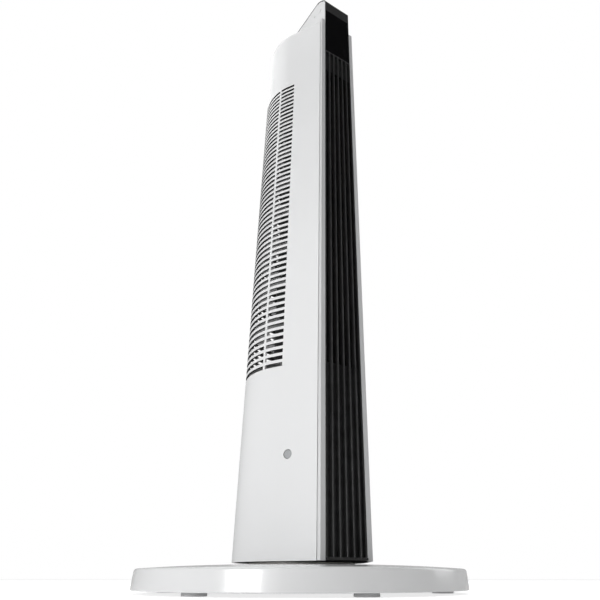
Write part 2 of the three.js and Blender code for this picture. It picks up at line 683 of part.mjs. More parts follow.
// Buttons stand on the slope in a row across it.
const slopeMidZ = TOWER_Z1 + HEAD_H * 0.42;
const slopeMidY = frontY + HEAD_LEN - (slopeMidZ - TOWER_Z1) / Math.tan(slopeAngle);
function onSlope(body, x) {
  const tilt = (slopeAngle * 180) / Math.PI;
  return body.rotate([-tilt, 0, 0]).translate([x, slopeMidY, slopeMidZ]);
}
const buttonXs = Array.from({ length: BUTTON_COUNT }, (_, k) => (k - (BUTTON_COUNT - 1) / 2) * BUTTON_PITCH);
const block = (w, l, z0, z1) => box(-w / 2, w / 2, -l / 2, l / 2, z0, z1);

const buttonHoles = buttonXs.map((x) => onSlope(block(BUTTON_W + 2 * GAP, BUTTON_L + 2 * GAP, -6, 4), x));
const controlPanel = without(skin.intersect(behindSplit), buttonHoles);
tower.push(mesh('control_panel', controlPanel, BLACK_GLOSS));

const noseFace = prism(facePlan(0), NOSE_Z0 + GAP, ridgeZ + 5)
  .intersect(sideways(headProfile(0, NOSE_Z0), -60, 60));
const noseCap = noseSkin.intersect(beforeSplit).add(noseFace);
tower.push(mesh('nose_cap', noseCap, BLACK));

function makeHeadShell() {
  const body = headBlock(HEAD_INSET, PANEL_T + GAP, headZ0, 0.4);
  const cavity = headBlock(HEAD_INSET + HEAD_WALL, PANEL_T + GAP + HEAD_WALL, headZ0 - 5);
  const frontCut = prism(facePlan(GAP), headZ0 - 5, ridgeZ + 5);
  const noseRoom = headBlock(HEAD_INSET - 1, -1, headZ0)
    .subtract(headBlock(HEAD_INSET - 2, NOSE_T + GAP, headZ0 - 10, 0.4))
    .intersect(box(-80, 80, frontY - 20, splitY + GAP / 2, headZ0, ridgeZ + 20))
    .subtract(box(-80, 80, frontY - 20, frontY + NOSE_ROUND / 2 - GAP, headZ0 - 5, skinFootZ - GAP));
  const buttonCuts = buttonXs.map((x) => onSlope(block(BUTTON_W + 2.4, BUTTON_L + 2.4, -12, 4), x));
  const notches = [-1, 1].map((hand) => {
    const groove = box(-0.9, 5, -0.8, 0.8, -NOTCH_L / 2, NOTCH_L / 2).rotate([hand * NOTCH_TILT, 0, 0]);
    const [x, y] = sidePoint(NOTCH_ALONG, HEAD_INSET, hand);
    return groove.rotate([0, 0, hand < 0 ? arcStart : -SIDE_SPLAY]).translate([x, y, TOWER_Z1 + NOTCH_UP]);
  });
  return without(body, [cavity, frontCut, noseRoom, ...buttonCuts, ...notches]);
}
tower.push(mesh('head_shell', makeHeadShell(), WHITE));

const boardDepth = PANEL_T + GAP + HEAD_WALL + BUTTON_TRAVEL + 4.2;
tower.push(mesh('control_board', onSlope(block(BUTTON_PITCH * (BUTTON_COUNT - 1) + 3, 18, -boardDepth - 1.6, -boardDepth), 0), BOARD));
const buttonNames = ['power_button', 'heat_button', 'swing_button', 'timer_button'];
const buttons = buttonXs.map((x, k) => {
  const cap = block(BUTTON_W, BUTTON_L, -PANEL_T - 2.6, 0.8);
  return mesh(buttonNames[k] ?? `button_${k + 1}`, onSlope(cap, x), GREY);
});

// ---------------------------------------------------------------- inner frame and air path
const plateFront = vaneBack + 1;
const motorPlateZ0 = OUTLET_Z0 - 2;
const motorPlateZ1 = motorPlateZ0 + MOTOR_PLATE_T;
const topPlateZ0 = WHEEL_Z1 + 6;

// Horseshoe ribs behind the slots, tied together by a spine at the rear.
function makeRibFrame() {
  const inside = rod(0, rearCentreY, RIB_IN_R, 0, TOWER_Z1, 18);
  const front = box(-100, 100, -150, rearCentreY - RIB_IN_R * 0.62, 0, TOWER_Z1);
  const lowest = SLOT_Z0 + RIB_UP;
  const ribs = [];
  for (let k = 0; k < RIB_COUNT; k += 1) {
    const z = lowest + k * RIB_PITCH;
    ribs.push(without(prism(outline(fitInside), z, z + RIB_T), [inside, front]));
  }
  const spineY = rearCentreY + REAR_R - fitInside;
  const spine = box(-5, 5, spineY - 7, spineY - 1.5, lowest, lowest + (RIB_COUNT - 1) * RIB_PITCH + RIB_T);
  return joined([...ribs, spine]);
}
tower.push(mesh('rib_frame', makeRibFrame(), WHITE));

// Lower chassis: the shelf under the motor, with a block for each casing screw.
const shelfT = 3;
const shelfZ0 = COVER_Z - SIDE_BOSS_R - GAP - shelfT;
const shelf = joined([
  prism(outline(fitInside, plateFront), shelfZ0, shelfZ0 + shelfT),
  ...[-1, 1].map((hand) => sideRod(SIDE_BOSS_R + 1, SIDE_BOSS_L + GAP, SIDE_BOSS_L + 12, COVER_ALONG, COVER_Z, hand, 14)),
]);
const shelfHoles = [-1, 1].map((hand) =>
  sideRod(BASE_SCREW_R + SCREW_FIT, SIDE_BOSS_L - 1, SIDE_BOSS_L + 10, COVER_ALONG, COVER_Z, hand, 10));
const shelfWindow = rod(0, WHEEL_Y, MOTOR_R * 0.5, shelfZ0 - 1, shelfZ0 + 4, 20);
tower.push(mesh('lower_chassis', without(shelf, [...shelfHoles, shelfWindow]), INNER_BLACK));

const motorPlate = prism(outline(fitInside, plateFront), motorPlateZ0, motorPlateZ1)
  .subtract(rod(0, WHEEL_Y, SHAFT_R + 3, motorPlateZ0 - 1, motorPlateZ1 + 1, 16));
tower.push(mesh('motor_plate', motorPlate, INNER_BLACK));

const motorZ1 = motorPlateZ0 - GAP;
const fanMotor = rod(0, WHEEL_Y, MOTOR_R, motorZ1 - MOTOR_H, motorZ1, 28)
  .subtract(rod(0, WHEEL_Y, SHAFT_R + GAP, motorZ1 - 12, motorZ1 + 1, 16));
tower.push(mesh('fan_motor', fanMotor, ZINC));

const topPlate = prism(outline(fitInside, plateFront), topPlateZ0, topPlateZ0 + 3)
  .subtract(rod(0, WHEEL_Y, SHAFT_R + 3.4, topPlateZ0 - 1, topPlateZ0 + 4, 18));
tower.push(mesh('top_plate', topPlate, INNER_BLACK));
const topBearing = joined([
  rod(0, WHEEL_Y, SHAFT_R + 3, topPlateZ0 - 1.5, topPlateZ0 + 5.5, 18),
  rod(0, WHEEL_Y, SHAFT_R + 6, topPlateZ0 + 3 + GAP, topPlateZ0 + 5.5, 18),
]).subtract(rod(0, WHEEL_Y, SHAFT_R + 0.1, topPlateZ0 - 3, topPlateZ0 + 7, 20));
tower.push(mesh('top_bearing', topBearing, ACETAL));

// The fan wheel: blades between discs, with a stub shaft at each end.
function makeWheel() {
  const parts = [];
  const step = (WHEEL_Z1 - WHEEL_Z0 - WHEEL_DISC_T) / (WHEEL_DISCS - 1);
  for (let k = 0; k < WHEEL_DISCS; k += 1) {
    const z = WHEEL_Z0 + k * step;
    parts.push(rod(0, 0, WHEEL_R, z, z + WHEEL_DISC_T, 24));
  }
  const chord = [[WHEEL_R * 0.74, 0], [WHEEL_R * 0.97, 1.9], [WHEEL_R * 0.96, 3.1], [WHEEL_R * 0.73, 0.9]];
  for (let k = 0; k < WHEEL_BLADES; k += 1) {
    const blade = prism(chord, WHEEL_Z0 + 0.4, WHEEL_Z1 - 0.4);
    parts.push(blade.rotate([0, 0, ((k + 0.3) * 360) / WHEEL_BLADES]));
  }
  parts.push(rod(0, 0, SHAFT_R, motorZ1 - 10, WHEEL_Z0 + 1, 20));
  parts.push(rod(0, 0, SHAFT_R, WHEEL_Z1 - 1, topPlateZ0 + 5, 20));
  return joined(parts).translate([0, WHEEL_Y, 0]);
}
const wheel = mesh('fan_wheel', makeWheel(), INNER_BLACK);

// Air guides: the long curved one wraps the left of the wheel, the short one is the tongue.
const guideZ0 = motorPlateZ1 + GAP;
const guideZ1 = topPlateZ0 - GAP;
function guideOutline(from, to, growth, exit) {
  const steps = 8;
  const inner = [];
  const outer = [];
  for (let k = 0; k <= steps; k += 1) {
    const degrees = from + ((to - from) * k) / steps;
    const r = WHEEL_R + GUIDE_GAP + (growth * k) / steps;
    const [xi, yi] = polar(r, degrees);
    const [xo, yo] = polar(r + GUIDE_T, degrees);
    inner.push([xi, yi + WHEEL_Y]);
    outer.push([xo, yo + WHEEL_Y]);
  }
  inner.push([exit[0], exit[1]]);
  outer.push([exit[0] - Math.sign(-exit[0]) * GUIDE_T, exit[1]]);
  return [...inner, ...outer.reverse()];
}
const guideExitX = HEATER_HALF_W + GAP + 0.7;
const longGuide = prism(guideOutline(152, 226, 3.5, [-guideExitX, HEATER_Y1 + 1]), guideZ0, guideZ1);
tower.push(mesh('long_air_guide', longGuide, INNER_BLACK));
const tongue = prism(guideOutline(352, 316, 1.5, [guideExitX, HEATER_Y1 + 1]), guideZ0, guideZ1);
tower.push(mesh('tongue_air_guide', tongue, INNER_BLACK));

// Heater: a frame behind the outlet holding two ceramic modules.
const heaterZ0 = guideZ0;
const heaterZ1 = guideZ1;
const heaterMid = (heaterZ0 + heaterZ1) / 2;
const frameIn = HEATER_HALF_W - HEATER_WALL;
const heaterFrame = without(box(-HEATER_HALF_W, HEATER_HALF_W, HEATER_Y0, HEATER_Y1, heaterZ0, heaterZ1), [
  box(-frameIn, frameIn, HEATER_Y0 - 1, HEATER_Y1 + 1, heaterZ0 + HEATER_WALL, heaterMid - 1.5),
  box(-frameIn, frameIn, HEATER_Y0 - 1, HEATER_Y1 + 1, heaterMid + 1.5, heaterZ1 - HEATER_WALL),
]);
tower.push(mesh('heater_frame', heaterFrame, INNER_BLACK));

const FIN_COUNT = 12;
function makeModule(z0, z1) {
  const half = frameIn - GAP;
  const y0 = HEATER_Y0 + 4;
  const y1 = HEATER_Y1 - 4;
  const parts = [];
  for (const x of [-half + 1.5, 0, half - 1.5]) {
    parts.push(box(x - 1.5, x + 1.5, y0, y1, z0, z1));
  }
  for (let k = 0; k < FIN_COUNT; k += 1) {
    const z = z0 + 2 + ((z1 - z0 - 5) * k) / (FIN_COUNT - 1);
    parts.push(box(-half + 1, half - 1, y0 + 0.5, y1 - 0.5, z, z + 1));
  }
  return joined(parts);
}
const moduleSpans = [
  [heaterZ0 + HEATER_WALL + GAP, heaterMid - 1.5 - GAP],
  [heaterMid + 1.5 + GAP, heaterZ1 - HEATER_WALL - GAP],
];
moduleSpans.forEach(([z0, z1], k) => {
  tower.push(mesh(`ceramic_module_${k + 1}`, makeModule(z0, z1), CERAMIC));
});

// Thermal cut-out on the top plate, over the heater.
const cutoutY = (HEATER_Y0 + HEATER_Y1) / 2;
const cutoutZ = topPlateZ0 + 3 + GAP;
tower.push(mesh('thermal_cutout',
  rod(0, cutoutY, 7.5, cutoutZ, cutoutZ + 9, 20).add(rod(0, cutoutY, 4, cutoutZ + 8, cutoutZ + 12, 12)), CERAMIC));

// Power board at the rear of the lower compartment, with two relays.
const powerY = rearCentreY + REAR_R * 0.72;
const powerZ0 = shelfZ0 + shelfT + GAP;
const powerBoard = joined([
  box(-26, 26, powerY, powerY + 1.6, powerZ0, motorPlateZ0 - 4),
  box(-20, -5, powerY - 9, powerY + 0.5, powerZ0 + 12, powerZ0 + 30),
  box(5, 20, powerY - 9, powerY + 0.5, powerZ0 + 12, powerZ0 + 30),
]);
tower.push(mesh('power_board', powerBoard, BOARD));

// ---------------------------------------------------------------- assembly
const heater = new THREE.Group();
heater.add(...base, plunger, ...tower, pinion, wheel, ...buttons);
export default heater;
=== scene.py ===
# Upright ceramic heater on a round base. Metres, +Z up, the front faces -Y.
import json
import math

import bmesh
import bpy
from mathutils import Matrix, Vector


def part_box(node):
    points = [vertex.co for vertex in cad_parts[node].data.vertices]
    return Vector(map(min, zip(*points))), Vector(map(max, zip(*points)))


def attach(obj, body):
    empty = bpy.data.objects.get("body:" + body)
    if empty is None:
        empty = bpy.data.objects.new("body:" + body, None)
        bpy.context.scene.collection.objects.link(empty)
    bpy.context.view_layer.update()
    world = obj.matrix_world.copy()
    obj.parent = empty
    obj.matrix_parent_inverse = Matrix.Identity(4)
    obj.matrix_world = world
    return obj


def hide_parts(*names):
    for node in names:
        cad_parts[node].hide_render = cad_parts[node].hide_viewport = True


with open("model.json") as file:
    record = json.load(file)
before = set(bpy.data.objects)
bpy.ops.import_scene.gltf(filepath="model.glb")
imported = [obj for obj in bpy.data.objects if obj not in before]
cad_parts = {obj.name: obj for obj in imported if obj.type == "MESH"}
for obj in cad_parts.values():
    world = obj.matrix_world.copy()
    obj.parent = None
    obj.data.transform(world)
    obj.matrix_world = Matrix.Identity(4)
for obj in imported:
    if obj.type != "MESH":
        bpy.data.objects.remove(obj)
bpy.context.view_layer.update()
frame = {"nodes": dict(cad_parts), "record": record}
scene = bpy.context.scene


# ---------------------------------------------------------------- studio
# A low camera looks up at the tower. The room is pale, brightest on the left, with a black flag over
# its front. Four soft lights: left, right, overhead and a small one low beside the base. The camera
# itself sees plain white behind the floor.
lens = bpy.data.cameras.new("camera")
lens.sensor_width = 36
lens.lens = 30.26
lens.shift_x = -0.0411
lens.clip_start = 0.01
camera = bpy.data.objects.new("camera", lens)
camera.location = (-0.25365, -0.43024, 0.01091)
camera.rotation_euler = (math.radians(118.892), 0, math.radians(-32.795))
scene.collection.objects.link(camera)
scene.camera = camera
scene.view_settings.view_transform = "Standard"

ROOM_STOPS = ((0, 0.58), (30, 0.50), (90, 0.42), (151, 0.34), (180, 0.40), (200, 0.74), (215, 0.82),
              (222, 0.05), (283, 0.05), (290, 0.40), (336, 0.45), (360, 0.58))  # degrees round Z, level
FLAG_LOW, FLAG_HIGH = 8, 60  # degrees up: the front is dark between these
FRONT_TOP = 0.20  # level above the flag
FLAG_DARK = 0.012  # level on the flag
FRONT_ROUND = (222, 345)  # degrees round Z that the front flag covers


def node_maths(tree, operation, *values):
    node = tree.nodes.new("ShaderNodeMath")
    node.operation = operation
    for socket, value in zip(node.inputs, values):
        if hasattr(value, "is_output"):
            tree.links.new(value, socket)
        else:
            socket.default_value = value
    return node.outputs[0]


def make_room():
    room = bpy.data.worlds.new("room")
    room.use_nodes = True
    tree = room.node_tree
    nodes, links = tree.nodes, tree.links
    direction = nodes.new("ShaderNodeTexCoord").outputs["Generated"]
    around = nodes.new("ShaderNodeTexGradient")
    around.gradient_type = "RADIAL"
    links.new(direction, around.inputs["Vector"])
    apart = nodes.new("ShaderNodeSeparateXYZ")
    links.new(direction, apart.inputs[0])
    ramp = nodes.new("ShaderNodeValToRGB")
    stops = sorted(((degrees / 360 + 0.5) % 1, level) for degrees, level in ROOM_STOPS[:-1])
    join = dict(ROOM_STOPS)[180]  # the ramp starts and ends at -X
    stops = [(0.0, join)] + [stop for stop in stops if stop[0] > 0] + [(1.0, join)]
    while len(ramp.color_ramp.elements) < len(stops):
        ramp.color_ramp.elements.new(0.5)
    for element, (place, level) in zip(ramp.color_ramp.elements, stops):
        element.position = place
        element.color = (level, level, level, 1)
    links.new(around.outputs["Fac"], ramp.inputs["Fac"])
    turn = node_maths(tree, "MULTIPLY", around.outputs["Fac"], 360)  # 180 at +X
    low, high = ((degrees / 360 + 0.5) % 1 * 360 for degrees in FRONT_ROUND)
    ahead = node_maths(tree, "MULTIPLY", node_maths(tree, "GREATER_THAN", turn, low),
                       node_maths(tree, "LESS_THAN", turn, high))
    height = apart.outputs["Z"]
    flag_foot, flag_top = math.sin(math.radians(FLAG_LOW)), math.sin(math.radians(FLAG_HIGH))
    band = node_maths(tree, "MULTIPLY", node_maths(tree, "GREATER_THAN", height, flag_foot),
                      node_maths(tree, "LESS_THAN", height, flag_top))
    above = node_maths(tree, "GREATER_THAN", height, flag_top)
    shut = node_maths(tree, "MULTIPLY", ahead, node_maths(tree, "ADD", band, above))
    keep = node_maths(tree, "SUBTRACT", 1, shut)
    level = node_maths(tree, "ADD", node_maths(tree, "MULTIPLY", ramp.outputs["Color"], keep),
                       node_maths(tree, "MULTIPLY", node_maths(tree, "MULTIPLY", ahead, above), FRONT_TOP))
    dark = node_maths(tree, "MULTIPLY", node_maths(tree, "MULTIPLY", ahead, band), FLAG_DARK)
    lit = nodes["Background"]
    lit.inputs["Color"].default_value = (1, 1, 1, 1)
    links.new(node_maths(tree, "ADD", level, dark), lit.inputs["Strength"])
    backdrop = nodes.new("ShaderNodeBackground")
    backdrop.inputs["Color"].default_value = (1, 1, 1, 1)
    both = nodes.new("ShaderNodeMixShader")
    links.new(nodes.new("ShaderNodeLightPath").outputs["Is Camera Ray"], both.inputs["Fac"])
    links.new(lit.outputs["Background"], both.inputs[1])
    links.new(backdrop.outputs["Background"], both.inputs[2])
    links.new(both.outputs["Shader"], nodes["World Output"].inputs["Surface"])
    return room


def soft_light(name, size, power, place, aim):
    lamp = bpy.data.lights.new(name, "AREA")
    lamp.shape = "RECTANGLE"
    lamp.size, lamp.size_y = size
    lamp.energy = power
    holder = bpy.data.objects.new(name, lamp)
    holder.location = place
    holder.rotation_euler = (Vector(aim) - Vector(place)).to_track_quat("-Z", "Y").to_euler()
    scene.collection.objects.link(holder)


scene.world = make_room()
soft_light("left_light", (1.6, 1.8), 9, (-2.0, -1.05, 0.9), (0, 0, 0.4))
soft_light("right_light", (0.9, 1.6), 10, (1.9, -0.5, 0.9), (0, 0, 0.2))
soft_light("low_light", (0.3, 0.2), 1.5, (-0.72, -0.36, 0.12), (-0.06, -0.03, 0.07))
soft_light("top_light", (2.4, 2.4), 22, (-0.3, 0.5, 2.6), (0, 0, 0))

FLOOR_R = 9.0
FLOOR_GLOW = 0.6  # how bright the floor looks
FLOOR_CAST = 0.14  # how brightly it lights the heater
floor_mesh = bpy.data.meshes.new("floor")
bm = bmesh.new()
bmesh.ops.create_circle(bm, cap_ends=True, radius=FLOOR_R, segments=96)
bm.to_mesh(floor_mesh)
bm.free()
floor = bpy.data.objects.new("floor", floor_mesh)
scene.collection.objects.link(floor)
paper = bpy.data.materials.new("floor_paper")
paper.use_nodes = True
surface = paper.node_tree.nodes["Principled BSDF"].inputs
surface["Base Color"].default_value = (0.93, 0.93, 0.93, 1)
surface["Roughness"].default_value = 0.9
surface["Specular IOR Level"].default_value = 0.1
surface["Emission Color"].default_value = (1, 1, 1, 1)
seen = paper.node_tree.nodes.new("ShaderNodeLightPath").outputs["Is Camera Ray"]
glow = node_maths(paper.node_tree, "MULTIPLY_ADD", seen, FLOOR_GLOW - FLOOR_CAST, FLOOR_CAST)
paper.node_tree.links.new(glow, surface["Emission Strength"])
floor_mesh.materials.append(paper)


# ---------------------------------------------------------------- base cover
# One white injection moulding, polished: a leaning rim, a filleted edge and a shallow crown that
# rises to a flat seat for the tower. It is screwed down from below to the base plate.
def rounded(corners, steps=4):
    """A closed outline from (a, b, radius) corners, with an arc at each corner that has a radius."""
    points = []
    for k, (a, b, radius) in enumerate(corners):
        here = Vector((a, b))
        if radius == 0:
            points.append(here)
            continue
        back = (Vector(corners[k - 1][:2]) - here).normalized()
        ahead = (Vector(corners[(k + 1) % len(corners)][:2]) - here).normalized()
        half = back.angle(ahead) / 2
        centre = here + (back + ahead).normalized() * radius / math.sin(half)
        start = here + back * radius / math.tan(half) - centre
        end = here + ahead * radius / math.tan(half) - centre
        for step in range(steps + 1):
            points.append(centre + start.lerp(end, step / steps).normalized() * radius)
    return points


def loop_of(bm, points):
    """A closed ring of edges through 3-D points."""
    verts = [bm.verts.new(point) for point in points]
    for k, vert in enumerate(verts):
        bm.edges.new((vert, verts[(k + 1) % len(verts)]))
    return verts


def lathe(profile, steps=64):
    """A closed body of revolution about Z from a closed (radius, height) outline."""
    bm = bmesh.new()
    loop_of(bm, [(r, 0, z) for r, z in profile])
    bmesh.ops.spin(bm, geom=bm.verts[:] + bm.edges[:], cent=(0, 0, 0), axis=(0, 0, 1),
                   angle=2 * math.pi, steps=steps, use_merge=True, use_duplicate=False)
    bmesh.ops.remove_doubles(bm, verts=bm.verts, dist=1e-6)
    bmesh.ops.dissolve_degenerate(bm, dist=1e-7, edges=bm.edges)
    bmesh.ops.recalc_face_normals(bm, faces=bm.faces)
    return bm


def smooth_over(bm, sharp_degrees=34):
    """Smooth shading, split where two faces meet at more than the given angle."""
    for face in bm.faces:
        face.smooth = True
    for edge in bm.edges:
        if len(edge.link_faces) == 2:
            edge.smooth = edge.calc_face_angle(0) < math.radians(sharp_degrees)


def add_object(name, bm, sharp_degrees=34):
    bm.normal_update()
    smooth_over(bm, sharp_degrees)
    mesh = bpy.data.meshes.new(name)
    bm.to_mesh(mesh)
    bm.free()
    made = bpy.data.objects.new(name, mesh)
    scene.collection.objects.link(made)
    return made


def fit(made, body, coat, nodes):
    """Give a finished piece its material, its body and the nodes that it stands for."""
    made.data.materials.clear()
    made.data.materials.append(coat)
    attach(made, body)
    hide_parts(*nodes)
    return made


def cut(made, cutter, how="DIFFERENCE"):
    """Cut one object with another, which is used up."""
    knife = made.modifiers.new("cut", "BOOLEAN")
    knife.object = cutter
    knife.operation = how
    knife.solver = "EXACT"
    graph = bpy.context.evaluated_depsgraph_get()
    graph.update()
    result = bpy.data.meshes.new_from_object(made.evaluated_get(graph))
    made.modifiers.clear()
    old = made.data
    made.data = result
    result.name = made.name
    bpy.data.meshes.remove(old)
    bpy.data.objects.remove(cutter)
    return made


def resharpen(made, sharp_degrees=34, soften=0.0, segments=2):
    """Weld a cut piece, round its sharp edges by 'soften' and set its smoothing again."""
    bm = bmesh.new()
    bm.from_mesh(made.data)
    bmesh.ops.remove_doubles(bm, verts=bm.verts, dist=2e-6)
    bmesh.ops.dissolve_limit(bm, angle_limit=math.radians(0.5), verts=bm.verts, edges=bm.edges)
    if soften:
        bm.normal_update()
        corners = [e for e in bm.edges
                   if len(e.link_faces) == 2 and e.calc_face_angle(0) > math.radians(sharp_degrees)]
        bmesh.ops.bevel(bm, geom=corners, offset=soften, offset_type="OFFSET", segments=segments,
                        profile=0.5, affect="EDGES", clamp_overlap=True, material=-1)
    bm.normal_update()
    smooth_over(bm, sharp_degrees + (16 if soften else 0))
    bm.to_mesh(made.data)
    bm.free()
    even = made.modifiers.new("even_normals", "WEIGHTED_NORMAL")
    even.keep_sharp = True
    return made


def shared_effect(name, inputs, outputs):
    """An empty node group with the given sockets, and its input and output nodes."""
    tree = bpy.data.node_groups.new(name, "ShaderNodeTree")
    for label, kind in inputs:
        tree.interface.new_socket(label, in_out="INPUT", socket_type=kind)
    for label, kind in outputs:
        tree.interface.new_socket(label, in_out="OUTPUT", socket_type=kind)
    return tree, tree.nodes.new("NodeGroupInput"), tree.nodes.new("NodeGroupOutput")


def add_noise(tree, scale, detail, place):
    noise = tree.nodes.new("ShaderNodeTexNoise")
    noise.inputs["Detail"].default_value = detail
    if isinstance(scale, (int, float)):
        noise.inputs["Scale"].default_value = scale
    else:
        tree.links.new(scale, noise.inputs["Scale"])
    tree.links.new(place, noise.inputs["Vector"])
    return noise.outputs["Fac"]


def add_range(tree, value, low, high, new_low, new_high):
    """Maps low..high to new_low..new_high. The new ends may be numbers or sockets."""
    node = tree.nodes.new("ShaderNodeMapRange")
    tree.links.new(value, node.inputs["Value"])
    node.inputs["From Min"].default_value = low
    node.inputs["From Max"].default_value = high
    for label, end in (("To Min", new_low), ("To Max", new_high)):
        if isinstance(end, (int, float)):
            node.inputs[label].default_value = end
        else:
            tree.links.new(end, node.inputs[label])
    return node.outputs["Result"]


def add_tint(tree, share, first, second):
    """first where share is 0, second where it is 1."""
    node = tree.nodes.new("ShaderNodeMix")
    node.data_type = "RGBA"
    tree.links.new(share, node.inputs["Factor"])
    for socket, value in ((node.inputs["A"], first), (node.inputs["B"], second)):
        if isinstance(value, tuple):
            socket.default_value = value
        else:
            tree.links.new(value, socket)
    return node.outputs["Result"]


def make_moulded_skin():
    """What a moulded or painted skin does: fine grain, slow flow marks and faint handling marks."""
    tree, given, result = shared_effect(
        "moulded_skin",
        [("Place", "NodeSocketVector"), ("Colour", "NodeSocketColor"), ("Roughness", "NodeSocketFloat"),
         ("Grain", "NodeSocketFloat"), ("Mottle", "NodeSocketFloat"), ("Marks", "NodeSocketFloat")],
        [("Colour", "NodeSocketColor"), ("Roughness", "NodeSocketFloat"), ("Height", "NodeSocketFloat")])
    place = given.outputs["Place"]
    fine = add_noise(tree, given.outputs["Grain"], 2.0, place)
    flow = add_noise(tree, 7.0, 3.0, place)
    wipe = add_noise(tree, 46.0, 5.0, place)
    shade = tree.nodes.new("ShaderNodeHueSaturation")
    tree.links.new(given.outputs["Colour"], shade.inputs["Color"])
    low_value = node_maths(tree, "SUBTRACT", 1.0, given.outputs["Mottle"])
    tree.links.new(add_range(tree, flow, 0.32, 0.68, low_value, 1.0), shade.inputs["Value"])
    tree.links.new(shade.outputs["Color"], result.inputs["Colour"])
    more = node_maths(tree, "ADD", given.outputs["Roughness"], given.outputs["Marks"])
    tree.links.new(add_range(tree, wipe, 0.45, 0.75, given.outputs["Roughness"], more),
                   result.inputs["Roughness"])
    tree.links.new(fine, result.inputs["Height"])
    return tree


def make_settled_dust():
    """A thin film of dust that lies on what faces up, broken up by two sizes of noise."""
    tree, given, result = shared_effect(
        "settled_dust",
        [("Place", "NodeSocketVector"), ("Colour", "NodeSocketColor"), ("Amount", "NodeSocketFloat")],
        [("Colour", "NodeSocketColor"), ("Mask", "NodeSocketFloat")])
    facing = tree.nodes.new("ShaderNodeNewGeometry")
    split = tree.nodes.new("ShaderNodeSeparateXYZ")
    tree.links.new(facing.outputs["Normal"], split.inputs["Vector"])
    upward = add_range(tree, split.outputs["Z"], 0.25, 0.95, 0.0, 1.0)
    patches = add_range(tree, add_noise(tree, 60.0, 6.0, given.outputs["Place"]), 0.4, 0.7, 0.25, 1.0)
    mask = node_maths(tree, "MULTIPLY", node_maths(tree, "MULTIPLY", upward, patches),
                     given.outputs["Amount"])
    tree.links.new(add_tint(tree, mask, given.outputs["Colour"], (0.46, 0.45, 0.43, 1)),
                   result.inputs["Colour"])
    tree.links.new(mask, result.inputs["Mask"])
    return tree


def make_painted_edge_highlight():
    """A mask of convex edges, found by pointiness, that tints them towards another colour: a painted edge
    highlight.
    """
    tree, given, result = shared_effect(
        "painted_edge_highlight",
        [("Place", "NodeSocketVector"), ("Colour", "NodeSocketColor"), ("Highlight", "NodeSocketColor"),
         ("Amount", "NodeSocketFloat")],
        [("Colour", "NodeSocketColor"), ("Mask", "NodeSocketFloat")])
    bend = tree.nodes.new("ShaderNodeNewGeometry")
    edge = add_range(tree, bend.outputs["Pointiness"], 0.52, 0.62, 0.0, 1.0)
    broken = add_range(tree, add_noise(tree, 120.0, 4.0, given.outputs["Place"]), 0.35, 0.65, 0.2, 1.0)
    mask = node_maths(tree, "MULTIPLY", node_maths(tree, "MULTIPLY", edge, broken),
                     given.outputs["Amount"])
    tree.links.new(add_tint(tree, mask, given.outputs["Colour"], given.outputs["Highlight"]),
                   result.inputs["Colour"])
    tree.links.new(mask, result.inputs["Mask"])
    return tree


moulded_skin = make_moulded_skin()
settled_dust = make_settled_dust()
painted_edge_highlight = make_painted_edge_highlight()


def finish_of(name, colour, roughness, grain, depth, mottle=0.02, marks=0.05, dust=0.0,
              edge_highlight=0.0, highlight_colour=(0.6, 0.6, 0.6), metallic=0.0, coat=0.0, coat_roughness=0.05,
              specular=0.5):
    """A material from the shared effects: grain is in waves per metre, depth in metres."""
    coating = bpy.data.materials.new(name)
    coating.use_nodes = True
    tree = coating.node_tree
    shader = tree.nodes["Principled BSDF"]
    place = tree.nodes.new("ShaderNodeTexCoord").outputs["Object"]
    skin = tree.nodes.new("ShaderNodeGroup")
    skin.node_tree = moulded_skin
    tree.links.new(place, skin.inputs["Place"])
    skin.inputs["Colour"].default_value = (*colour, 1)
    skin.inputs["Roughness"].default_value = roughness
    skin.inputs["Grain"].default_value = grain
    skin.inputs["Mottle"].default_value = mottle
    skin.inputs["Marks"].default_value = marks
    top = skin.outputs["Colour"]
    # Painted edge highlight: convex edges, found by pointiness, are tinted towards another colour.
    if edge_highlight:
        edges = tree.nodes.new("ShaderNodeGroup")
        edges.node_tree = painted_edge_highlight
        tree.links.new(place, edges.inputs["Place"])
        tree.links.new(top, edges.inputs["Colour"])
        edges.inputs["Highlight"].default_value = (*highlight_colour, 1)
        edges.inputs["Amount"].default_value = edge_highlight
        top = edges.outputs["Colour"]
    if dust:
        film = tree.nodes.new("ShaderNodeGroup")
        film.node_tree = settled_dust
        tree.links.new(place, film.inputs["Place"])
        tree.links.new(top, film.inputs["Colour"])
        film.inputs["Amount"].default_value = dust
        top = film.outputs["Colour"]
    tree.links.new(top, shader.inputs["Base Color"])
    tree.links.new(skin.outputs["Roughness"], shader.inputs["Roughness"])
    bump = tree.nodes.new("ShaderNodeBump")
    bump.inputs["Distance"].default_value = depth
    tree.links.new(skin.outputs["Height"], bump.inputs["Height"])
    tree.links.new(bump.outputs["Normal"], shader.inputs["Normal"])
    shader.inputs["Metallic"].default_value = metallic
    shader.inputs["Coat Weight"].default_value = coat
    shader.inputs["Coat Roughness"].default_value = coat_roughness
    shader.inputs["Specular IOR Level"].default_value = specular
    return coating


cover_low, cover_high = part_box("base_cover")
BASE_R = cover_high.x
BASE_BOTTOM = cover_low.z
CROWN_TOP = cover_high.z
RIM_LEAN = 0.0008
RIM_TOP = 0.0176
RIM_FILLET = 0.002
BASE_WALL = 0.0024
SEAT_R = 0.050
COLLAR_R = 0.0362
COLLAR_T = 0.002
COLLAR_Z0 = 0.0098


def crown_z(r, drop=0.0):
    share = max(0.0, (r - SEAT_R) / (BASE_R - RIM_LEAN - RIM_FILLET - SEAT_R))
    return CROWN_TOP - (CROWN_TOP - RIM_TOP) * share ** 2 - drop


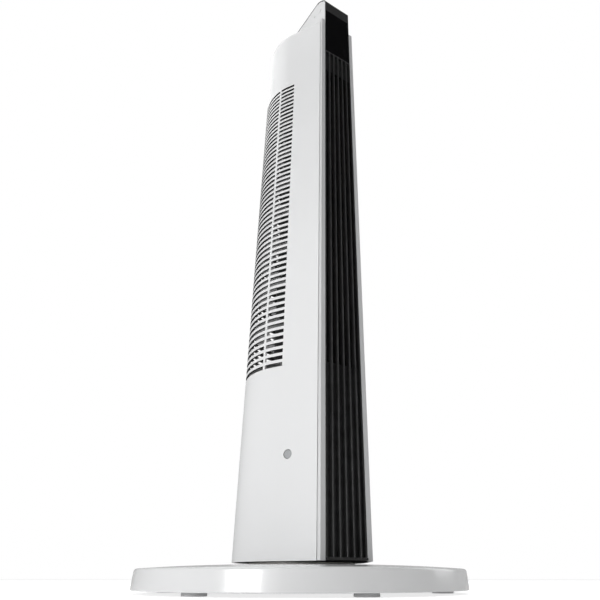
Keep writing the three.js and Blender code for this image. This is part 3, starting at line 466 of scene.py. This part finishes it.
def base_cover_outline():
    rim_r = BASE_R - RIM_LEAN
    lip = rim_r - 2 * RIM_FILLET
    spans = [lip + (SEAT_R - lip) * k / 12 for k in range(13)]
    corners = [(BASE_R, BASE_BOTTOM, 0.0007), (rim_r, crown_z(rim_r), RIM_FILLET)]
    corners += [(r, crown_z(r), 0) for r in spans]
    corners += [(COLLAR_R, CROWN_TOP, 0.0006), (COLLAR_R, COLLAR_Z0, 0.0004),
                (COLLAR_R + COLLAR_T, COLLAR_Z0, 0.0004),
                (COLLAR_R + COLLAR_T, CROWN_TOP - BASE_WALL, 0.0008)]
    corners += [(r - BASE_WALL * 0.5, crown_z(r, BASE_WALL), 0) for r in reversed(spans)]
    corners += [(rim_r - BASE_WALL, crown_z(rim_r, BASE_WALL), 0.0016),
                (BASE_R - BASE_WALL, BASE_BOTTOM, 0.0004)]
    return rounded(corners, 6)


inlet_low, inlet_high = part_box("cord_inlet_bushing")
INLET_Z = (inlet_low.z + inlet_high.z) / 2
INLET_R = (inlet_high.z - inlet_low.z) / 2
INLET_PLAY = 0.0003
INLET_RECESS = 0.0022


def lying_bar(radius, y0, y1, z, segments=32):
    """A round bar along Y."""
    bm = bmesh.new()
    bmesh.ops.create_cone(bm, cap_ends=True, segments=segments, radius1=radius, radius2=radius, depth=y1 - y0)
    bmesh.ops.rotate(bm, verts=bm.verts, cent=(0, 0, 0), matrix=Matrix.Rotation(math.pi / 2, 3, "X"))
    bmesh.ops.translate(bm, verts=bm.verts, vec=(0, (y0 + y1) / 2, z))
    return add_object("bar", bm)


base_gloss = finish_of("base_white", (0.80, 0.805, 0.81), 0.17, 900, 0.000004, mottle=0.015,
                       marks=0.0, dust=0.01, coat=0.35, coat_roughness=0.06)
base_moulding = add_object("base_moulding", lathe(base_cover_outline(), 144))
cut(base_moulding, lying_bar(INLET_R + INLET_PLAY, inlet_high.y - INLET_RECESS, BASE_R + 0.01, INLET_Z))
resharpen(base_moulding)
fit(base_moulding, "base", base_gloss, ["base_cover"])


# ---------------------------------------------------------------- foot pads
# Six die-cut pads of pale grey rubber foam, with a shallow ring on the sole.
# They are glued under the base plate, in a ring just inside the rim.
pad_rubber = finish_of("foot_rubber", (0.78, 0.78, 0.785), 0.85, 2600, 0.00008, mottle=0.12, marks=0.08)
SOLE_STEP = 0.0003
PAD_ROUND = 0.0005
for k in range(1, 7):
    low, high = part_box(f"foot_pad_{k}")
    pad_r, pad_h = (high.x - low.x) / 2, high.z - low.z
    corners = [(0, SOLE_STEP, 0), (pad_r * 0.45, SOLE_STEP, 0), (pad_r * 0.5, 0, 0), (pad_r, 0, PAD_ROUND),
               (pad_r * 0.98, pad_h, PAD_ROUND), (0, pad_h, 0)]
    bm = lathe(rounded(corners, 3), 40)
    bmesh.ops.translate(bm, verts=bm.verts, vec=((low.x + high.x) / 2, (low.y + high.y) / 2, low.z))
    fit(add_object(f"rubber_pad_{k}", bm), "base", pad_rubber, [f"foot_pad_{k}"])


# ---------------------------------------------------------------- cord inlet
# A flanged bushing of grey plastic, where the cord would go into the base.
# It is pressed into a round hole in the rear of the rim.
# The grey plastic gets the painted edge highlight, which tints its convex edges lighter.
grey_plastic = finish_of("grey_plastic", (0.40, 0.41, 0.42), 0.42, 1500, 0.00002, mottle=0.04, edge_highlight=0.3)
CORD_HOLE_R = 0.0024
BUSH_R = 0.0039
FLANGE_T = 0.0016
flange_y = inlet_high.y - FLANGE_T
bush = [(CORD_HOLE_R, inlet_low.y, 0.0003), (BUSH_R, inlet_low.y, 0.0003), (BUSH_R, flange_y, 0.0002),
        (INLET_R, flange_y, 0.0003), (INLET_R, inlet_high.y, 0.0006), (CORD_HOLE_R, inlet_high.y, 0.0008)]
bm = lathe(rounded(bush, 3), 40)
bmesh.ops.rotate(bm, verts=bm.verts, cent=(0, 0, 0), matrix=Matrix.Rotation(-math.pi / 2, 3, "X"))
bmesh.ops.translate(bm, verts=bm.verts, vec=(0, 0, INLET_Z))
fit(add_object("inlet_bush", bm), "base", grey_plastic, ["cord_inlet_bushing"])


# ---------------------------------------------------------------- casing
# A white wrap-round moulding: two flat sides that open towards the rear and a round back, with a
# rounded top edge. Rows of intake slots go round it on both sides of a plain strip down the rear.
# Its inside is painted near-black, partly painted shade and partly a guessed dark lining, and the undersides
# of the slots carry painted shade.
FRONT_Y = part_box("trim_strip_left")[0].y
FRONT_HALF = 0.025
SPLAY = math.radians(31)
REAR_R = 0.0594
WALL = 0.002
TOP_ROUND = 0.008
casing_low, casing_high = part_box("casing")
TOWER_Z0, TOWER_Z1 = casing_low.z, casing_high.z
REAR_Y = FRONT_Y + (REAR_R - FRONT_HALF * math.cos(SPLAY)) / math.sin(SPLAY)
FLAT_LENGTH = (REAR_Y - REAR_R * math.sin(SPLAY) - FRONT_Y) / math.cos(SPLAY)
HALF_ROUND = FLAT_LENGTH + REAR_R * (math.pi / 2 + SPLAY)

SLOT_ROWS = 57
SLOT_PITCH = 0.007
SLOT_H = 0.0039
SLOT_Z0 = 0.188
SLOT_RIB = 0.0025
SPINE_HALF = 0.0085
FIRST_SLOT = (0.041, 0.061)
LONG_START = FIRST_SLOT[1] + SLOT_RIB
LONG_W = (HALF_ROUND - SPINE_HALF - LONG_START - SLOT_RIB) / 2
SLOTS = [FIRST_SLOT, (LONG_START, LONG_START + LONG_W),
         (LONG_START + LONG_W + SLOT_RIB, LONG_START + 2 * LONG_W + SLOT_RIB)]
CASING_EDGE = 0.0033  # along the side, behind the silver strip
TOP_STEPS = 8


def side_point(along, inset, hand):
    """Plan point on the left (hand -1) or right (hand 1) side, 'along' from the front corner."""
    if along <= FLAT_LENGTH:
        x = FRONT_HALF + along * math.sin(SPLAY) - inset * math.cos(SPLAY)
        return Vector((hand * x, FRONT_Y + along * math.cos(SPLAY) + inset * math.sin(SPLAY)))
    turn = math.pi + SPLAY - (along - FLAT_LENGTH) / REAR_R
    reach = REAR_R - inset
    return Vector((-hand * reach * math.cos(turn), REAR_Y + reach * math.sin(turn)))


def plan_stops(step=0.0042):
    """Distances along one side up to the middle of the rear, slot edges among them."""
    marks = sorted({CASING_EDGE, FLAT_LENGTH, HALF_ROUND, *(edge for slot in SLOTS for edge in slot)})
    stops = [marks[0]]
    for here, there in zip(marks, marks[1:]):
        count = max(1, round((there - here) / step))
        stops += [here + (there - here) * k / count for k in range(1, count + 1)]
    return stops


def plan_line(inset):
    """An open plan line from the front of the right side, round the rear, to the front of the left."""
    stops = plan_stops()
    stops[0] -= inset * math.tan(SPLAY)
    right = [side_point(along, inset, 1) for along in stops]
    left = [side_point(along, inset, -1) for along in reversed(stops[:-1])]
    return right + left


def raise_line(bm, edges, points, z):
    """Extrude a line of edges and put the new line on the given plan points at height z."""
    made = bmesh.ops.extrude_edge_only(bm, edges=edges)["geom"]
    verts = [g for g in made if isinstance(g, bmesh.types.BMVert)]
    for vert in verts:
        x, y = points[vert[order]]
        vert.co = (x, y, z)
    return [g for g in made if isinstance(g, bmesh.types.BMEdge) and all(v in verts for v in g.verts)]


def slot_faces(bm):
    """The faces of the wall that lie in a slot."""
    line = plan_stops()
    found = []
    for face in bm.faces:
        middle = face.calc_center_median()
        row = (middle.z - SLOT_Z0) / SLOT_PITCH
        if not -0.4 < row < SLOT_ROWS - 0.6 or abs(row - round(row)) * SLOT_PITCH > SLOT_H / 2:
            continue
        ranks = sorted({min(v[order], 2 * (len(line) - 1) - v[order]) for v in face.verts})
        along = (line[ranks[0]] + line[ranks[-1]]) / 2
        if any(start < along < end for start, end in SLOTS):
            found.append(face)
    return found


bm = bmesh.new()
order = bm.verts.layers.int.new("order")
first = plan_line(0)
verts = []
for k, (x, y) in enumerate(first):
    vert = bm.verts.new((x, y, TOWER_Z0))
    vert[order] = k
    verts.append(vert)
line = [bm.edges.new(pair) for pair in zip(verts, verts[1:])]
for row in range(SLOT_ROWS):
    for edge in (-SLOT_H / 2, SLOT_H / 2):
        line = raise_line(bm, line, first, SLOT_Z0 + row * SLOT_PITCH + edge)
line = raise_line(bm, line, first, TOWER_Z1 - TOP_ROUND)
for k in range(1, TOP_STEPS + 1):
    turn = math.pi / 2 * k / TOP_STEPS
    inset = TOP_ROUND * (1 - math.cos(turn))
    line = raise_line(bm, line, plan_line(inset),
                      TOWER_Z1 - TOP_ROUND * (1 - math.sin(turn)))
bm.faces.new(sorted({v for e in line for v in e.verts}, key=lambda v: v[order]))
bmesh.ops.delete(bm, geom=slot_faces(bm), context="FACES")
bmesh.ops.recalc_face_normals(bm, faces=bm.faces)
if sum(f.normal.z * f.calc_area() for f in bm.faces) < 0:
    bmesh.ops.reverse_faces(bm, faces=bm.faces)
bmesh.ops.solidify(bm, geom=bm.faces[:], thickness=WALL)
casing_white = finish_of("housing_white", (0.83, 0.835, 0.84), 0.24, 1400, 0.000012, mottle=0.012,
                         marks=0.0, dust=0.01)
casing_shell = add_object("casing_shell", bm)


def side_frame(along, z, hand):
    """Where a thing on the flat side sits: +Z of the frame points out of the wall."""
    x, y = side_point(along, 0, hand)
    out = Vector((hand * math.cos(SPLAY), -math.sin(SPLAY), 0))
    turn = out.to_track_quat("Z", "Y").to_matrix().to_4x4()
    return Matrix.Translation((x, y, z)) @ turn


COVER_ALONG = 0.0318
COVER_Z = (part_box("screw_cover_left")[0].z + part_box("screw_cover_left")[1].z) / 2
COVER_R = 0.0037
COVER_PLAY = 0.0003
POCKET_DEPTH = 0.012


def side_pocket(hand):
    bm = bmesh.new()
    bmesh.ops.create_cone(bm, cap_ends=True, segments=40, radius1=COVER_R + COVER_PLAY,
                          radius2=COVER_R + COVER_PLAY, depth=POCKET_DEPTH)
    bmesh.ops.transform(bm, matrix=side_frame(COVER_ALONG, COVER_Z, hand), verts=bm.verts)
    return add_object("pocket", bm)


for hand in (-1, 1):
    cut(casing_shell, side_pocket(hand))
resharpen(casing_shell)
fit(casing_shell, "tower", casing_white, ["casing"])
# Painted shade: a near-black second material goes on the inside faces, the underside of the roof and the
# undersides of the slots, where the white wall lies in shade; on the inside it also stands for a guessed dark
# lining.
shade_black = finish_of("inner_shade", (0.012, 0.012, 0.012), 0.6, 900, 0.00001, mottle=0.05, marks=0.0)
casing_shell.data.materials.append(shade_black)
FACES_IN, FACES_DOWN, SLOPES_DOWN = -0.7, -0.9, -0.5  # how far a normal turns in or down
for face in casing_shell.data.polygons:
    middle = face.center
    out = Vector((middle.x, middle.y - REAR_Y, 0))
    if middle.y < REAR_Y - REAR_R * math.sin(SPLAY):
        out = Vector((math.copysign(math.cos(SPLAY), middle.x), -math.sin(SPLAY), 0))
    under_roof = face.normal.z < SLOPES_DOWN and middle.z > TOWER_Z1 - TOP_ROUND
    slot_roof = face.normal.z < FACES_DOWN and SLOT_Z0 - SLOT_PITCH < middle.z < TOWER_Z1 - TOP_ROUND
    if face.normal.dot(out.normalized()) < FACES_IN or under_roof or slot_roof:
        face.material_index = 1


# ---------------------------------------------------------------- screw covers
# A small moulded button of grey plastic, very slightly domed.
# One is pressed over the screw at the foot of each side.
for hand, side in ((-1, "left"), (1, "right")):
    dome = [(0, -0.0018, 0), (COVER_R - 0.0003, -0.0018, 0.0002), (COVER_R, -0.0003, 0.0004),
            (COVER_R * 0.8, -0.00012, 0), (COVER_R * 0.4, 0.00002, 0), (0, 0.00006, 0)]
    bm = lathe(rounded(dome, 3), 48)
    bmesh.ops.transform(bm, matrix=side_frame(COVER_ALONG, COVER_Z, hand), verts=bm.verts)
    fit(add_object(f"cover_button_{side}", bm), "tower", grey_plastic,
        [f"screw_cover_{side}"])


# ---------------------------------------------------------------- trim strips
# A strip of silver-painted plastic down each front edge.
# Its outer edge is mitred into the side wall.
def upright(points, z0, z1):
    """An upright prism of a plan outline."""
    bm = bmesh.new()
    base = bm.faces.new([bm.verts.new((x, y, z0)) for x, y in points])
    top = bmesh.ops.extrude_face_region(bm, geom=[base])["geom"]
    bmesh.ops.translate(bm, verts=[g for g in top if isinstance(g, bmesh.types.BMVert)], vec=(0, 0, z1 - z0))
    bmesh.ops.recalc_face_normals(bm, faces=bm.faces)
    return bm


def ease(bm, width, segments=2, least_degrees=40):
    """Round every edge that turns more than the given angle."""
    bm.normal_update()
    corners = [e for e in bm.edges if e.calc_face_angle(0) > math.radians(least_degrees)]
    bmesh.ops.bevel(bm, geom=corners, offset=width, offset_type="OFFSET", segments=segments,
                    profile=0.5, affect="EDGES", clamp_overlap=True, material=-1)
    return bm


STRIP_W = 0.005
STRIP_T = 0.0025
STRIP_IN = FRONT_HALF - STRIP_W + 0.00015
# The silver gets the painted edge highlight, which here tints its convex edges a little darker.
silver = finish_of("silver_paint", (0.66, 0.665, 0.67), 0.42, 5200, 0.00001, mottle=0.03, marks=0.03,
                   metallic=0.12, edge_highlight=0.2, highlight_colour=(0.6, 0.6, 0.6))
for hand, side in ((-1, "left"), (1, "right")):
    low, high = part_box(f"trim_strip_{side}")
    outer_back = FRONT_HALF + STRIP_T * math.tan(SPLAY)
    plan = [(hand * FRONT_HALF, FRONT_Y), (hand * outer_back, FRONT_Y + STRIP_T),
            (hand * STRIP_IN, FRONT_Y + STRIP_T), (hand * STRIP_IN, FRONT_Y)]
    strip = add_object(f"silver_strip_{side}", ease(upright(plan, low.z, high.z), 0.00025), 60)
    strip.modifiers.new("even_normals", "WEIGHTED_NORMAL").keep_sharp = True
    fit(strip, "tower", silver, [f"trim_strip_{side}"])


# ---------------------------------------------------------------- front grille
# One black moulding: two cheeks, five thin upright vanes with eased noses, closed backing below
# and above the outlet, and a guard of thin cross bars behind the vanes where the air comes out.
grille_low, grille_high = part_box("front_grille")
GRILLE_Z0, GRILLE_Z1 = grille_low.z, grille_high.z
PANEL_HALF = grille_high.x
VANES = 5
VANE_PITCH = 2 * PANEL_HALF / (VANES + 1)
VANE_T = 0.0013
VANE_FRONT, VANE_BACK = grille_low.y, grille_high.y
BACKING_SET = 0.0038
BACKING_T = 0.002
OUTLET_Z0, OUTLET_Z1 = 0.186, 0.596
BAR_PITCH = 0.0227
BAR_T = 0.0012
BAR_BACK, BAR_FRONT = 0.001, 0.0024  # from the vanes' backs
FIRST_BAR = 0.0181  # above the outlet's foot
END_T = 0.002
GRILLE_PLAY = 0.0002


def block(x0, x1, y0, y1, z0, z1):
    return upright([(x0, y0), (x1, y0), (x1, y1), (x0, y1)], z0, z1)


def gather(bodies):
    """Several bmeshes in one."""
    whole = bmesh.new()
    for bm in bodies:
        part = bpy.data.meshes.new("part")
        bm.to_mesh(part)
        bm.free()
        whole.from_mesh(part)
        bpy.data.meshes.remove(part)
    return whole


def vane(x):
    nose, tail = VANE_T / 2, VANE_T * 0.36
    plan = rounded([(x - nose, VANE_FRONT, 0.0005), (x + nose, VANE_FRONT, 0.0005),
                    (x + tail, VANE_BACK, 0.0003), (x - tail, VANE_BACK, 0.0003)], 4)
    return ease(upright(plan, GRILLE_Z0 + 0.001, GRILLE_Z1 - 0.001), 0.0002, 1, 70)


def cheek(hand):
    inner = hand * (PANEL_HALF - VANE_T)
    x0, x1 = sorted((inner, hand * PANEL_HALF))
    return ease(block(x0, x1, FRONT_Y, VANE_BACK, GRILLE_Z0, GRILLE_Z1), 0.00025)


backing_y = VANE_FRONT + BACKING_SET
grille_parts = [vane(-PANEL_HALF + k * VANE_PITCH) for k in range(1, VANES + 1)]
grille_parts += [cheek(-1), cheek(1)]
for z0, z1 in ((GRILLE_Z0, OUTLET_Z0), (OUTLET_Z1, GRILLE_Z1)):
    grille_parts.append(ease(block(-PANEL_HALF + GRILLE_PLAY, PANEL_HALF - GRILLE_PLAY, backing_y,
                                   backing_y + BACKING_T, z0 + GRILLE_PLAY, z1 - GRILLE_PLAY), 0.0002))
for front, z0, z1 in ((VANE_FRONT, GRILLE_Z0, GRILLE_Z0 + END_T), (FRONT_Y, GRILLE_Z1 - END_T, GRILLE_Z1)):
    grille_parts.append(ease(block(-PANEL_HALF, PANEL_HALF, front, VANE_BACK, z0, z1), 0.0003))
for k in range(int((OUTLET_Z1 - OUTLET_Z0) / BAR_PITCH)):
    z = OUTLET_Z0 + FIRST_BAR + k * BAR_PITCH
    grille_parts.append(ease(block(-PANEL_HALF + 0.001, PANEL_HALF - 0.001, VANE_BACK - BAR_FRONT,
                                   VANE_BACK - BAR_BACK, z, z + BAR_T), 0.0002, 1))
# The black gets the painted edge highlight, which tints its convex edges lighter.
grille_black = finish_of("grille_black", (0.012, 0.012, 0.0125), 0.33, 2400, 0.00002, mottle=0.1,
                         marks=0.1, dust=0.10, edge_highlight=0.35, highlight_colour=(0.09, 0.09, 0.092))
ribbed_front = add_object("ribbed_front", gather(grille_parts), 50)
ribbed_front.modifiers.new("even_normals", "WEIGHTED_NORMAL").keep_sharp = True
fit(ribbed_front, "tower", grille_black, ["front_grille"])


# ---------------------------------------------------------------- front window
# A flat panel of polished black plastic over the display.
# Its sides are mitred into the walls beside it.
MITRE = STRIP_T * 0.55
window_low, window_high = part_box("front_window")


def face_plan(grow=0.0):
    front, back = FRONT_Y - grow * 2, FRONT_Y + STRIP_T + grow
    half = PANEL_HALF + grow
    return [(-half, front), (half, front), (half - MITRE, back), (-half + MITRE, back)]


window_black = finish_of("window_black", (0.003, 0.003, 0.0035), 0.05, 300, 0.000001, mottle=0.0,
                         marks=0.03, dust=0.02, coat=0.5, coat_roughness=0.03)
window_panel = upright(face_plan(), window_low.z, window_high.z)
window = add_object("display_window", ease(window_panel, 0.0003, 3), 60)
window.modifiers.new("even_normals", "WEIGHTED_NORMAL").keep_sharp = True
fit(window, "tower", window_black, ["front_window"])


# ---------------------------------------------------------------- head
# The head is a white wedge set in a little from the casing. A black nose cap closes its front
# top edge and a polished black panel with the buttons covers the slope behind the ridge.
HEAD_INSET = 0.0041
HEAD_WALL = 0.0018
HEAD_LEN = 0.039
RIDGE_W = 0.0092
NOSE_ROUND = 0.0055
RIDGE_ROUND = 0.0062
PANEL_T = 0.0011
NOSE_T = 0.0022
JOINT_GAP = 0.0003
SHELL_FRONT = 0.0004  # the white walls' front, behind the black face
RIDGE_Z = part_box("nose_cap")[1].z
NOSE_Z0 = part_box("nose_cap")[0].z
HEAD_Z0 = TOWER_Z1 + JOINT_GAP
SLOPE = math.atan2(RIDGE_Z - TOWER_Z1, HEAD_LEN - RIDGE_W)


def head_outline(inset, bottom, front_inset=None):
    """Side outline of the head as (y, z), set in by 'inset' all round but below."""
    top, front = RIDGE_Z - inset, FRONT_Y + inset
    radius = max(0.0008, RIDGE_ROUND - inset)
    slope_top = FRONT_Y + RIDGE_W - inset / math.sin(SLOPE) + inset / math.tan(SLOPE)
    back = slope_top + (top - bottom) / math.tan(SLOPE)
    corners = [(front, bottom, 0)]
    if front_inset is not None:
        face = FRONT_Y + front_inset
        step_z = RIDGE_Z - NOSE_ROUND
        corners = [(face, bottom, 0), (face, step_z, 0), (front, step_z, 0)]
    corners += [(front, top, NOSE_ROUND - inset - 0.00002), (slope_top, top, radius), (back, bottom, 0)]
    return rounded(corners, 8)


def closed_plan(inset, front):
    """The tower's whole plan, inset, with its front edge at y = front."""
    reach = FRONT_HALF + ((front - FRONT_Y) * math.sin(SPLAY) - inset) / math.cos(SPLAY)
    return [Vector((reach, front))] + plan_line(inset)[1:-1] + [Vector((-reach, front))]


def head_block(plan_inset, outline_inset, bottom, front_inset=None):
    """The part of the tower's plan that lies under the head's side outline."""
    plan = closed_plan(plan_inset, FRONT_Y - 0.001)
    column = add_object("column", upright(plan, bottom, RIDGE_Z + 0.005))
    bm = bmesh.new()
    points = head_outline(outline_inset, bottom - 0.005, front_inset)
    side = bm.faces.new([bm.verts.new((-0.08, y, z)) for y, z in points])
    moved = bmesh.ops.extrude_face_region(bm, geom=[side])["geom"]
    far_side = [g for g in moved if isinstance(g, bmesh.types.BMVert)]
    bmesh.ops.translate(bm, verts=far_side, vec=(0.16, 0, 0))
    bmesh.ops.recalc_face_normals(bm, faces=bm.faces)
    return cut(column, add_object("outline", bm), "INTERSECT")


def slab(x0, x1, y0, y1, z0, z1):
    return add_object("slab", block(x0, x1, y0, y1, z0, z1))


button_names = ("power", "heat", "swing", "timer")
BUTTON_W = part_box("power_button")[1].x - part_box("power_button")[0].x
BUTTON_L = 0.007
button_x = [(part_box(f"{n}_button")[0].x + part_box(f"{n}_button")[1].x) / 2 for n in button_names]
KEY_ROW = 0.42  # of the way up the slope
slope_z = TOWER_Z1 + (RIDGE_Z - TOWER_Z1) * KEY_ROW
slope_y = FRONT_Y + HEAD_LEN - (slope_z - TOWER_Z1) / math.tan(SLOPE)


def on_slope(x):
    """A frame on the slope: +Z points out of it, X runs across."""
    return Matrix.Translation((x, slope_y, slope_z)) @ Matrix.Rotation(-SLOPE, 4, "X")


def button_hole(x, grow, depth):
    half_w, half_l = BUTTON_W / 2 + grow, BUTTON_L / 2 + grow
    bm = block(-half_w, half_w, -half_l, half_l, -depth, 0.004)
    bmesh.ops.transform(bm, matrix=on_slope(x), verts=bm.verts)
    return add_object("hole", bm)


def make_skin(thickness):
    """The black skin over the ridge and down the slope."""
    skin = head_block(HEAD_INSET, 0, HEAD_Z0)
    return cut(skin, head_block(HEAD_INSET - 0.001, thickness, HEAD_Z0 - 0.01))


SKIN_FOOT_Z = RIDGE_Z - NOSE_ROUND * 0.6
SPLIT_Y = FRONT_Y + RIDGE_W + 0.001
panel = make_skin(PANEL_T)
cut(panel, slab(-0.08, 0.08, FRONT_Y - 0.02, SPLIT_Y + JOINT_GAP / 2, 0, RIDGE_Z + 0.02))
for x in button_x:
    cut(panel, button_hole(x, JOINT_GAP, 0.006))
panel.name = "slope_panel"
resharpen(panel, soften=0.0002)
fit(panel, "tower", window_black, ["control_panel"])

nose = make_skin(NOSE_T)
cut(nose, slab(-0.06, 0.06, FRONT_Y - 0.005, FRONT_Y + NOSE_ROUND / 2, 0, SKIN_FOOT_Z))
cut(nose, slab(-0.08, 0.08, SPLIT_Y - JOINT_GAP / 2, 0.08, 0, RIDGE_Z + 0.02))
nose_face = add_object("nose_face", upright(face_plan(), NOSE_Z0, RIDGE_Z + 0.005))
cut(nose_face, head_block(-0.02, 0, NOSE_Z0 - 0.01), "INTERSECT")
cut(nose, nose_face, "UNION")
nose.name = "nose_hood"
resharpen(nose, soften=0.0002)
fit(nose, "tower", grille_black, ["nose_cap"])

shell = head_block(HEAD_INSET, PANEL_T + JOINT_GAP, HEAD_Z0, SHELL_FRONT)
cut(shell, head_block(HEAD_INSET + HEAD_WALL, PANEL_T + JOINT_GAP + HEAD_WALL, HEAD_Z0 - 0.005))
cut(shell, add_object("front_cut", upright(face_plan(JOINT_GAP), HEAD_Z0 - 0.005, RIDGE_Z + 0.005)))
nose_room = head_block(HEAD_INSET - 0.001, -0.001, HEAD_Z0)
cut(nose_room, head_block(HEAD_INSET - 0.002, NOSE_T + JOINT_GAP, HEAD_Z0 - 0.01, SHELL_FRONT))
cut(nose_room, slab(-0.09, 0.09, SPLIT_Y + JOINT_GAP / 2, 0.09, 0, RIDGE_Z + 0.02))
cut(nose_room, slab(-0.08, 0.08, FRONT_Y - 0.02, FRONT_Y + NOSE_ROUND / 2 - JOINT_GAP,
                    0, SKIN_FOOT_Z - JOINT_GAP))
cut(shell, nose_room)
KEY_WELL_PLAY, KEY_WELL = 0.0012, 0.012
for x in button_x:
    cut(shell, button_hole(x, KEY_WELL_PLAY, KEY_WELL))
NOTCH_ALONG, NOTCH_UP, NOTCH_L, NOTCH_TILT = 0.0055, 0.026, 0.0086, math.radians(27)
NOTCH_HALF, NOTCH_END, NOTCH_DEPTH = 0.00065, 0.0006, 0.0009
for hand in (-1, 1):
    ends = [(-NOTCH_HALF, -NOTCH_L / 2, NOTCH_END), (NOTCH_HALF, -NOTCH_L / 2, NOTCH_END),
            (NOTCH_HALF, NOTCH_L / 2, NOTCH_END), (-NOTCH_HALF, NOTCH_L / 2, NOTCH_END)]
    groove = upright(rounded(ends, 4), -NOTCH_DEPTH, 0.005)
    out = Vector((hand * math.cos(SPLAY), -math.sin(SPLAY), 0))
    ahead = Vector((-hand * math.sin(SPLAY), -math.cos(SPLAY), 0))
    length = ahead * math.sin(NOTCH_TILT) + Vector((0, 0, math.cos(NOTCH_TILT)))
    x, y = side_point(NOTCH_ALONG, HEAD_INSET, hand)
    turn = Matrix((length.cross(out), length, out)).transposed().to_4x4()
    place = Matrix.Translation((x, y, TOWER_Z1 + NOTCH_UP)) @ turn
    bmesh.ops.transform(groove, matrix=place, verts=groove.verts)
    cut(shell, add_object("groove", groove))
shell.name = "head_walls"
resharpen(shell, soften=0.00035, segments=3)
fit(shell, "tower", casing_white, ["head_shell"])


# ---------------------------------------------------------------- buttons
# Four soft-edged keys of grey plastic in a row on the slope, each with a dished face and a raised dot.
# Each slides in a hole in the black panel.
KEY_DEEP, KEY_PROUD = 0.0026, 0.0008
KEY_BORDER, KEY_DISH, KEY_EASE = 0.0012, 0.00045, 0.00045
DOT_R, DOT_UP, DOT_RISE = 0.0007, 0.0016, 0.0003


def key_cap():
    bm = block(-BUTTON_W / 2, BUTTON_W / 2, -BUTTON_L / 2, BUTTON_L / 2, -PANEL_T - KEY_DEEP, KEY_PROUD)
    top = max(bm.faces, key=lambda f: f.calc_center_median().z)
    bmesh.ops.inset_region(bm, faces=[top], thickness=KEY_BORDER, use_even_offset=True)
    inner = max(bm.faces, key=lambda f: (round(f.calc_center_median().z, 6), -len(f.verts), f.calc_area()))
    bmesh.ops.translate(bm, verts=inner.verts[:], vec=(0, 0, -KEY_DISH))
    return ease(bm, KEY_EASE, 3, 60)


for x, name in zip(button_x, button_names):
    parts = [key_cap()]
    mark = bmesh.new()
    bmesh.ops.create_uvsphere(mark, u_segments=20, v_segments=8, radius=DOT_R)
    bmesh.ops.translate(mark, verts=mark.verts, vec=(0, DOT_UP, DOT_RISE))
    parts.append(mark)
    key = gather(parts)
    bmesh.ops.transform(key, matrix=on_slope(x), verts=key.verts)
    cap = add_object(f"{name}_key", key, 50)
    cap.modifiers.new("even_normals", "WEIGHTED_NORMAL").keep_sharp = True
    fit(cap, f"{name}_button", grey_plastic, [f"{name}_button"])


# ---------------------------------------------------------------- pieces kept as they are
# The mechanical pieces inside and under the tower: steel, zinc, acetal, ceramic and black plastic.
# They keep their own shapes and get their finishes here.
inner_black = finish_of("inner_black", (0.012, 0.012, 0.013), 0.55, 1800, 0.00003, mottle=0.15, dust=0.2)
acetal = finish_of("acetal", (0.78, 0.77, 0.72), 0.38, 1200, 0.00001, mottle=0.04)
steel = finish_of("steel", (0.42, 0.42, 0.43), 0.42, 3000, 0.00004, mottle=0.25, marks=0.15, metallic=1.0)
zinc = finish_of("zinc", (0.62, 0.63, 0.64), 0.32, 2600, 0.00002, mottle=0.2, marks=0.12, metallic=1.0)
ceramic = finish_of("ceramic", (0.52, 0.47, 0.40), 0.75, 5000, 0.00006, mottle=0.2)
board_green = finish_of("board_green", (0.02, 0.12, 0.05), 0.35, 1600, 0.00002, mottle=0.3)
coats = {"base_white": base_gloss, "housing_white": casing_white, "silver_paint": silver,
         "grille_black": grille_black, "window_black": window_black, "grey_plastic": grey_plastic,
         "inner_black": inner_black, "foot_rubber": pad_rubber, "steel": steel, "zinc": zinc,
         "acetal": acetal, "ceramic": ceramic, "board_green": board_green}
for entry in frame["record"]["subparts"]:
    node = frame["nodes"][entry["node"]]
    if not node.hide_render:
        node.data.materials.clear()
        node.data.materials.append(coats[entry["material_slot"]])
